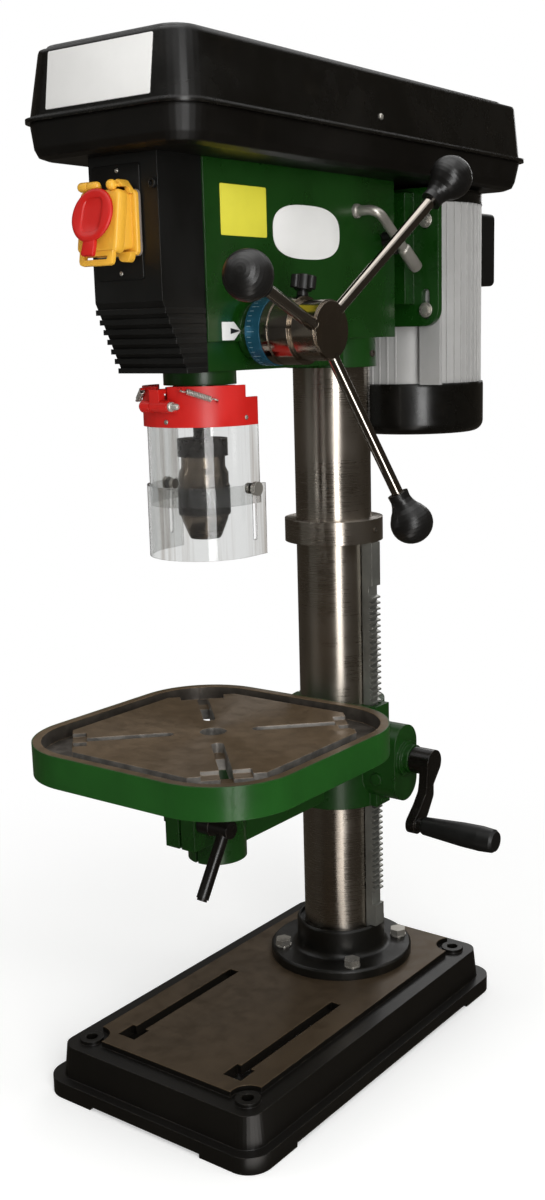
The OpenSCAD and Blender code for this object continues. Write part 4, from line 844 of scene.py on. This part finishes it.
def stop_disc():
    """The mushroom disc: rounded rim, a shallow rounded recess and a tab at its lower edge."""
    bm = bmesh.new()
    tilt = FLAP @ Matrix.Translation((0, -27, 132.5)) @ Matrix.Rotation(math.radians(-7), 4, "X")
    rim = [(6.0, 6.0), (6.2, 2.0), (20.5, 1.6), (22.0, 1.0), (22.7, 0), (22.6, -1.0), (21.9, -2.0),
           (20.8, -2.6), (19.2, -2.8)]
    recess = [(13.6, 17.2, -2.3, 0.72), (11.6, 15.2, -2.1, 0.55), (10.9, 14.5, -1.7, 0.5),
              (10.5, 14.1, -0.7, 0.5), (9.4, 13.0, -0.3, 0.5), (4.5, 6.5, -0.2, 0.6)]
    rings = [[bm.verts.new(tilt @ Vector((x, y, z))) for x, z in oval(a, b, 72, power)]
             for a, b, y, power in [(r, r, y, 1.0) for r, y in rim] + recess]
    join_rings(bm, rings)
    tab = [(-3.4, -17), (-5.8, -20.5), (-6.2, -32.6), (-5.6, -33.6), (-4.6, -34), (6.0, -34), (7.0, -33.6),
           (7.6, -32.6), (7.6, -24), (6.6, -17)]
    turn = tilt.to_3x3()
    add_slab(bm, tilt @ Vector((0, 2.2, 0)), turn @ Vector((1, 0, 0)), turn @ Vector((0, 0, 1)), tab,
             3.8, 1.0)
    finish_mesh("stop_disc", bm, "red_plastic", BODY["stop_paddle"], "stop_paddle", 45, "red_plastic")


switch_gasket()
switch_body()
flap_cover()
stop_disc()


# Plain plates and the pointer, which lie on sloping faces

lid_slope = math.atan2(7.7, 52.4)
slab("lid_plate", (0, -218.02, 923), (1, 0, 0), (0, math.sin(lid_slope), math.cos(lid_slope)),
     round_rect(-57.5, 59.5, 4.9, 51.9, 1.5), 0.9, "white_plate", BODY["lid"], rim=0.3)

SIDE_X, SIDE_Y, SIDE_RISE = 40.5, -134, 6.5 / 216  # the head's side where it starts, and how it widens
side_u = (math.sin(math.atan(SIDE_RISE)), math.cos(math.atan(SIDE_RISE)), 0)


def side_plate(name, y0, y1, z0, z1, mat, outline=None, t=0.6, lift=0.0):
    y, z = (y0 + y1) / 2, (z0 + z1) / 2
    w, h = (y1 - y0) / 2, (z1 - z0) / 2
    at = (SIDE_X + (y - SIDE_Y) * SIDE_RISE + lift, y, z)
    slab(name, at, side_u, (0, 0, 1), outline or round_rect(-w, w, -h, h, 1.5), t, mat, "frame", rim=0.2)


side_plate("side_plate_yellow", -113, -50, 826, 869.5, "yellow_plate")
side_plate("side_plate_white", -41, 61, 808.7, 857.5, "white_plate", oval(51, 24.5, 72, 0.72, 0.5))
side_plate("depth_pointer", -117, -91, 735, 753, "white_plate",
           [(-12, -8), (4, -8), (13, 0), (4, 8), (-12, 8)])
side_plate("depth_pointer_arrow", -106, -92, 741, 747, "black_print", [(-6, -2.6), (7.5, 0), (-6, 2.6)],
           t=0.3, lift=0.6)

# Depth ring's marks, tension lever and grip band


def ring_marks():
    """Forty marks round the depth ring, every fifth one longer."""
    bm = bmesh.new()
    ring_lo, ring_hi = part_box("depth_ring")
    r = (ring_hi.z - ring_lo.z) / 2 / MM
    half_width, proud = 0.2, 0.12
    for k, (c, s) in enumerate(circle(40)):
        n, u = Vector((0, c, s)), Vector((0, -s, c))
        x0, x1 = 52.5, 60.5 if k % 5 == 0 else 56.5
        at = Vector((0, HUB_Y, HUB_Z)) + n * (r - 0.05)
        rings = [[bm.verts.new(at + Vector((x, 0, 0)) + u * side * half_width + n * h)
                  for x, side in ((x0, -1), (x1, -1), (x1, 1), (x0, 1))] for h in (0, proud)]
        join_rings(bm, rings)
    finish_mesh("depth_ring_marks", bm, "tick_print", BODY["depth_ring"])


def tension_lever():
    """The belt tension lever: one bar that bends out of the head and ends in a sleeve."""
    bm = bmesh.new()
    out = Vector((1, 0, 0))
    down = Vector((0, 68, -50)).normalized()
    pivot = Vector(head(0, 190, 151))
    x0, x1, bend = HEAD_HALF - 4, HEAD_HALF + 25, 11
    pts = [pivot + out * x for x in (x0, x0 + 9, x1 - bend)]
    for k in range(1, 9):
        a = math.radians(90 * k / 8)
        pts.append(pivot + out * (x1 - bend + bend * math.sin(a)) + down * (bend - bend * math.cos(a)))
    pts += [pivot + out * x1 + down * d for d in (30, 46, 60)]
    add_tube(bm, pts, 4.9, 20)
    add_lathe(bm, pivot + out * x1 + down * 58, down,
              [(4.9, 0), (5.8, 0.7), (6.4, 2.2), (6.6, 4), (6.7, 30), (6.3, 31.6), (5.4, 32.2), (4.2, 32.2),
               (4.0, 31.4), (0, 31.2)])
    add_lathe(bm, pivot + out * (HEAD_HALF - 3), out, [(6.9, 0), (6.9, 5.6), (6.2, 6.8), (5.2, 7.2)])
    shaft = 2 * HEAD_HALF
    add_lathe(bm, pivot - out * (HEAD_HALF + 3), out,
              [(6.0, 0), (6.9, 0.9), (6.9, 4), (4.9, 4), (4.9, shaft), (0, shaft)], 32)
    add_lathe(bm, pivot - out * 8, out, [(9.5, 0), (10.4, 0.8), (10.4, 15.2), (9.5, 16)])
    finish_mesh("tension_bar", bm, "zinc", BODY["tension_lever"], "tension_lever", 40, "chrome")


def grip_band():
    """Rolled teeth round the widest part of the chuck's sleeve, each of four steps: low, half, full, half."""
    bm = bmesh.new()
    centre, r, steps = Vector(head(0, 0, 0)), CHUCK_R - 0.18, circle(96 * 4)

    def ring(z, radius, height=0.0):
        verts = []
        for k, (c, s) in enumerate(steps):
            rr = radius + (0.0, 0.5, 1.0, 0.5)[k % 4] * height
            verts.append(bm.verts.new(centre + Vector((rr * c, rr * s, z))))
        return verts

    toothed = [(-102, 0.12), (-102.6, 0.3), (-126.8, 0.3), (-127.4, 0.12)]
    rings = [ring(-101.4, r - 0.35)]
    rings += [ring(z, r + 0.2, height) for z, height in toothed]
    rings += [ring(-128, r - 0.35), ring(-127.6, r - 0.7), ring(-101.8, r - 0.7)]
    join_rings(bm, rings, looped=True)
    finish_mesh("chuck_grip_band", bm, "chuck_black", BODY["chuck_sleeve"], angle=50)


# Small pieces in their places

screws("lid_screw", [((92.0, 66.6, 937.5), (1, 0, 0.13), 3.0, "pan")], "zinc", BODY["lid"], slot="zinc")
screws("plate_bolts", [((x, 190.8, z), (0, -1, 0), 7.4, "hex") for x in (-66, 66) for z in (852.4, 761.7)],
       "zinc", BODY["motor_plate"], slot="zinc")
screws("head_set_screw", [((46.8, 115.5, 719), (1, 0, 0), 3.6, "socket")], "dark_steel", "frame")
screws("ring_set_screw", [((51.6, 110.3, 538.9), (1, 0, 0), 2.6, "socket")], "dark_steel",
       BODY["ring_collar"])
ring_marks()
lathe("grip_ferrule", (121.4, 87, 235), (1, 0, 0),
      [(4.2, 0), (6.4, 0), (6.8, 0.5), (6.8, 1.6), (6.2, 2.1), (4.2, 2.1)], "zinc", BODY["crank_grip"])
screws("guard_rivets", [(head(4, 0.4 - GUARD_R, -40), (0.08, -1, 0), 2.2, "pan"),
                        (head(GUARD_R - 0.4, 0, -38), (1, 0, 0), 2.2, "pan"),
                        (head(0.4 - GUARD_R, 0, -38), (-1, 0, 0), 2.2, "pan")],
       "zinc", BODY["guard_collar"], slot="zinc")
tension_lever()
grip_band()
lathe("guard_hinge_screw", head(14.6, -GUARD_R - 6, -26), (1, 0, 0),
      [(3.0, 0), (4.4, 0.3), (4.4, 2.4), (3.6, 3.2), (3.1, 3.4), (3.0, 6.5), (2.9, 8.2), (2.0, 9.6),
       (0.8, 10.3), (0, 10.4)], "bright_zinc", BODY["guard_collar"])
lathe("guard_hinge_head", head(-17.0, -GUARD_R - 6, -26), (-1, 0, 0),
      [(2.8, 0), (4.0, 0.2), (4.0, 1.8), (3.2, 2.6), (0, 2.8)], "bright_zinc", BODY["guard_collar"])


# Floor, lamps and world

FLOOR_HALF, FLOOR_Z, FLOOR_LIFT = 7, -0.0006, 0.35
WHITE_FROM, WHITE_FULL = 0.34, 0.95  # metres from the middle, between which the floor turns white


def floor_material():
    """Pale ground with a slight lift for the camera, none in the dark under the base, and white far away."""
    n = Nodes("floor")
    b = n.bsdf.inputs
    b["Base Color"].default_value = (0.8, 0.8, 0.79, 1)
    b["Roughness"].default_value = 0.9
    b["Specular IOR Level"].default_value = 0.1
    path = n.add("ShaderNodeLightPath")
    seen = n.math("MAXIMUM", path.outputs["Is Camera Ray"], path.outputs["Is Transmission Ray"])
    x, y, _ = n.xyz()
    in_x = n.math("SUBTRACT", BASE_HI.x, n.math("ABSOLUTE", x))
    in_y = n.math("SUBTRACT", BASE_HI.y, n.math("ABSOLUTE", y))
    open_floor = n.ramp(n.math("MINIMUM", in_x, in_y), 0.004, 0.014, 1, 0.0)
    lift, white = n.add("ShaderNodeEmission"), n.add("ShaderNodeEmission")
    n.put(n.math("MULTIPLY", n.math("MULTIPLY", seen, FLOOR_LIFT), open_floor), lift.inputs["Strength"])
    lit = n.add("ShaderNodeAddShader")
    n.put(n.bsdf.outputs[0], lit.inputs[0])
    n.put(lift.outputs[0], lit.inputs[1])
    out = n.add("ShaderNodeMixShader")
    n.put(n.math("MULTIPLY", n.ramp(n.length(x, y), WHITE_FROM, WHITE_FULL), seen), out.inputs[0])
    n.put(lit.outputs[0], out.inputs[1])
    n.put(white.outputs[0], out.inputs[2])
    n.put(out.outputs[0], n.tree.nodes["Material Output"].inputs["Surface"])
    return n.mat


def stage_mesh(name, verts, faces, mats):
    me = bpy.data.meshes.new(name)
    me.from_pydata(verts, [], faces)
    for mat in mats:
        me.materials.append(mat)
    o = add_object(name, me)
    return o


floor_corners = [(x * FLOOR_HALF, y * FLOOR_HALF, FLOOR_Z) for x, y in ((-1, -1), (1, -1), (1, 1), (-1, 1))]
stage_mesh("floor", floor_corners, [(0, 1, 2, 3)], [floor_material()])


def white_world(seen_level, light_level):
    """White for what looks at it straight, by reflection or through the shields, and dimmer as a light."""
    world = bpy.data.worlds.new("world")
    bpy.context.scene.world = world
    world.use_nodes = True
    tree = world.node_tree
    bg = tree.nodes["Background"]
    bg.inputs["Color"].default_value = (1, 1, 1, 1)
    path = tree.nodes.new("ShaderNodeLightPath")
    seen = path.outputs["Is Camera Ray"]
    for ray in ("Is Glossy Ray", "Is Transmission Ray"):
        either = tree.nodes.new("ShaderNodeMath")
        either.operation = "MAXIMUM"
        tree.links.new(seen, either.inputs[0])
        tree.links.new(path.outputs[ray], either.inputs[1])
        seen = either.outputs[0]
    level = tree.nodes.new("ShaderNodeMapRange")
    tree.links.new(seen, level.inputs["Value"])
    level.inputs["To Min"].default_value = light_level
    level.inputs["To Max"].default_value = seen_level
    tree.links.new(level.outputs["Result"], bg.inputs["Strength"])


white_world(1.0, 0.45)


def lamp(name, at, to, size, power, glossy=True):
    d = bpy.data.lights.new(name, "AREA")
    d.shape = "RECTANGLE"
    d.size, d.size_y = size
    d.energy = power
    o = add_object(name, d)
    o.location = at
    o.rotation_euler = (Vector(to) - Vector(at)).to_track_quat("-Z", "Y").to_euler()
    o.visible_glossy = glossy


centre = (0, 0, 0.55)
key_at = Vector((CAM_AT.x, CAM_AT.y, 0.86)) + 0.31 * cam_right
lamp("key", key_at, (0, 0, 0.8), (0.42, 1.4), 14)
lamp("top", (0.1, -0.3, 2.3), centre, (1.4, 1.4), 10)
lamp("left", (-1.7, -1.3, 1.1), centre, (0.5, 1.2), 5, glossy=False)
lamp("right", (1.9, 0.7, 1.0), centre, (0.4, 1.2), 5, glossy=False)
lamp("back", (-0.6, 2.0, 1.4), centre, (1.0, 0.8), 6)


def glow_material(name, glow):
    mat = bpy.data.materials.new(name)
    mat.use_nodes = True
    b = mat.node_tree.nodes["Principled BSDF"].inputs
    top = max(glow)
    b["Base Color"].default_value = (0.0, 0.0, 0.0, 1)
    b["Specular IOR Level"].default_value = 0.0
    b["Emission Color"].default_value = tuple(g / top for g in glow) + (1,)
    b["Emission Strength"].default_value = top
    return mat


def dark_room():
    """Dim walls and ground outside the picture with a lit strip, which only metal and gloss see."""
    wall_r, wall_lo, wall_hi, ground_r, step = 2.5, -0.1, 2.3, 2.52, 10
    mats = [glow_material("dim", (0.055, 0.048, 0.039)), glow_material("half_lit", (0.16, 0.16, 0.15)),
            glow_material("lit", (2.4, 2.3, 2.2))]
    dim, half_lit, lit = range(3)
    verts, faces, finishes = [], [], []

    def add_face(finish, *corners):
        for r, deg, z in corners:
            verts.append((r * math.cos(math.radians(deg)), r * math.sin(math.radians(deg)), z))
        faces.append(tuple(range(len(verts) - len(corners), len(verts))))
        finishes.append(finish)

    for a in range(0, 360, step):
        b = a + step
        wall = half_lit if 221 <= (a + b) / 2 <= 247 else dim
        add_face(wall, (wall_r, a, wall_lo), (wall_r, b, wall_lo), (wall_r, b, wall_hi), (wall_r, a, wall_hi))
        add_face(dim, (0, 0, -0.0003), (ground_r, a, -0.0003), (ground_r, b, -0.0003))
    add_face(lit, (0.27, -62, -0.0001), (1.4, -50, -0.0001), (1.4, -38, -0.0001), (0.27, -26, -0.0001))
    o = stage_mesh("dark_room", verts, faces, mats)
    for face, finish in zip(o.data.polygons, finishes):
        face.material_index = finish
    o.visible_camera = o.visible_diffuse = o.visible_transmission = o.visible_shadow = False
    o.visible_volume_scatter = False


dark_room()

bpy.context.scene.view_settings.view_transform = "Standard"
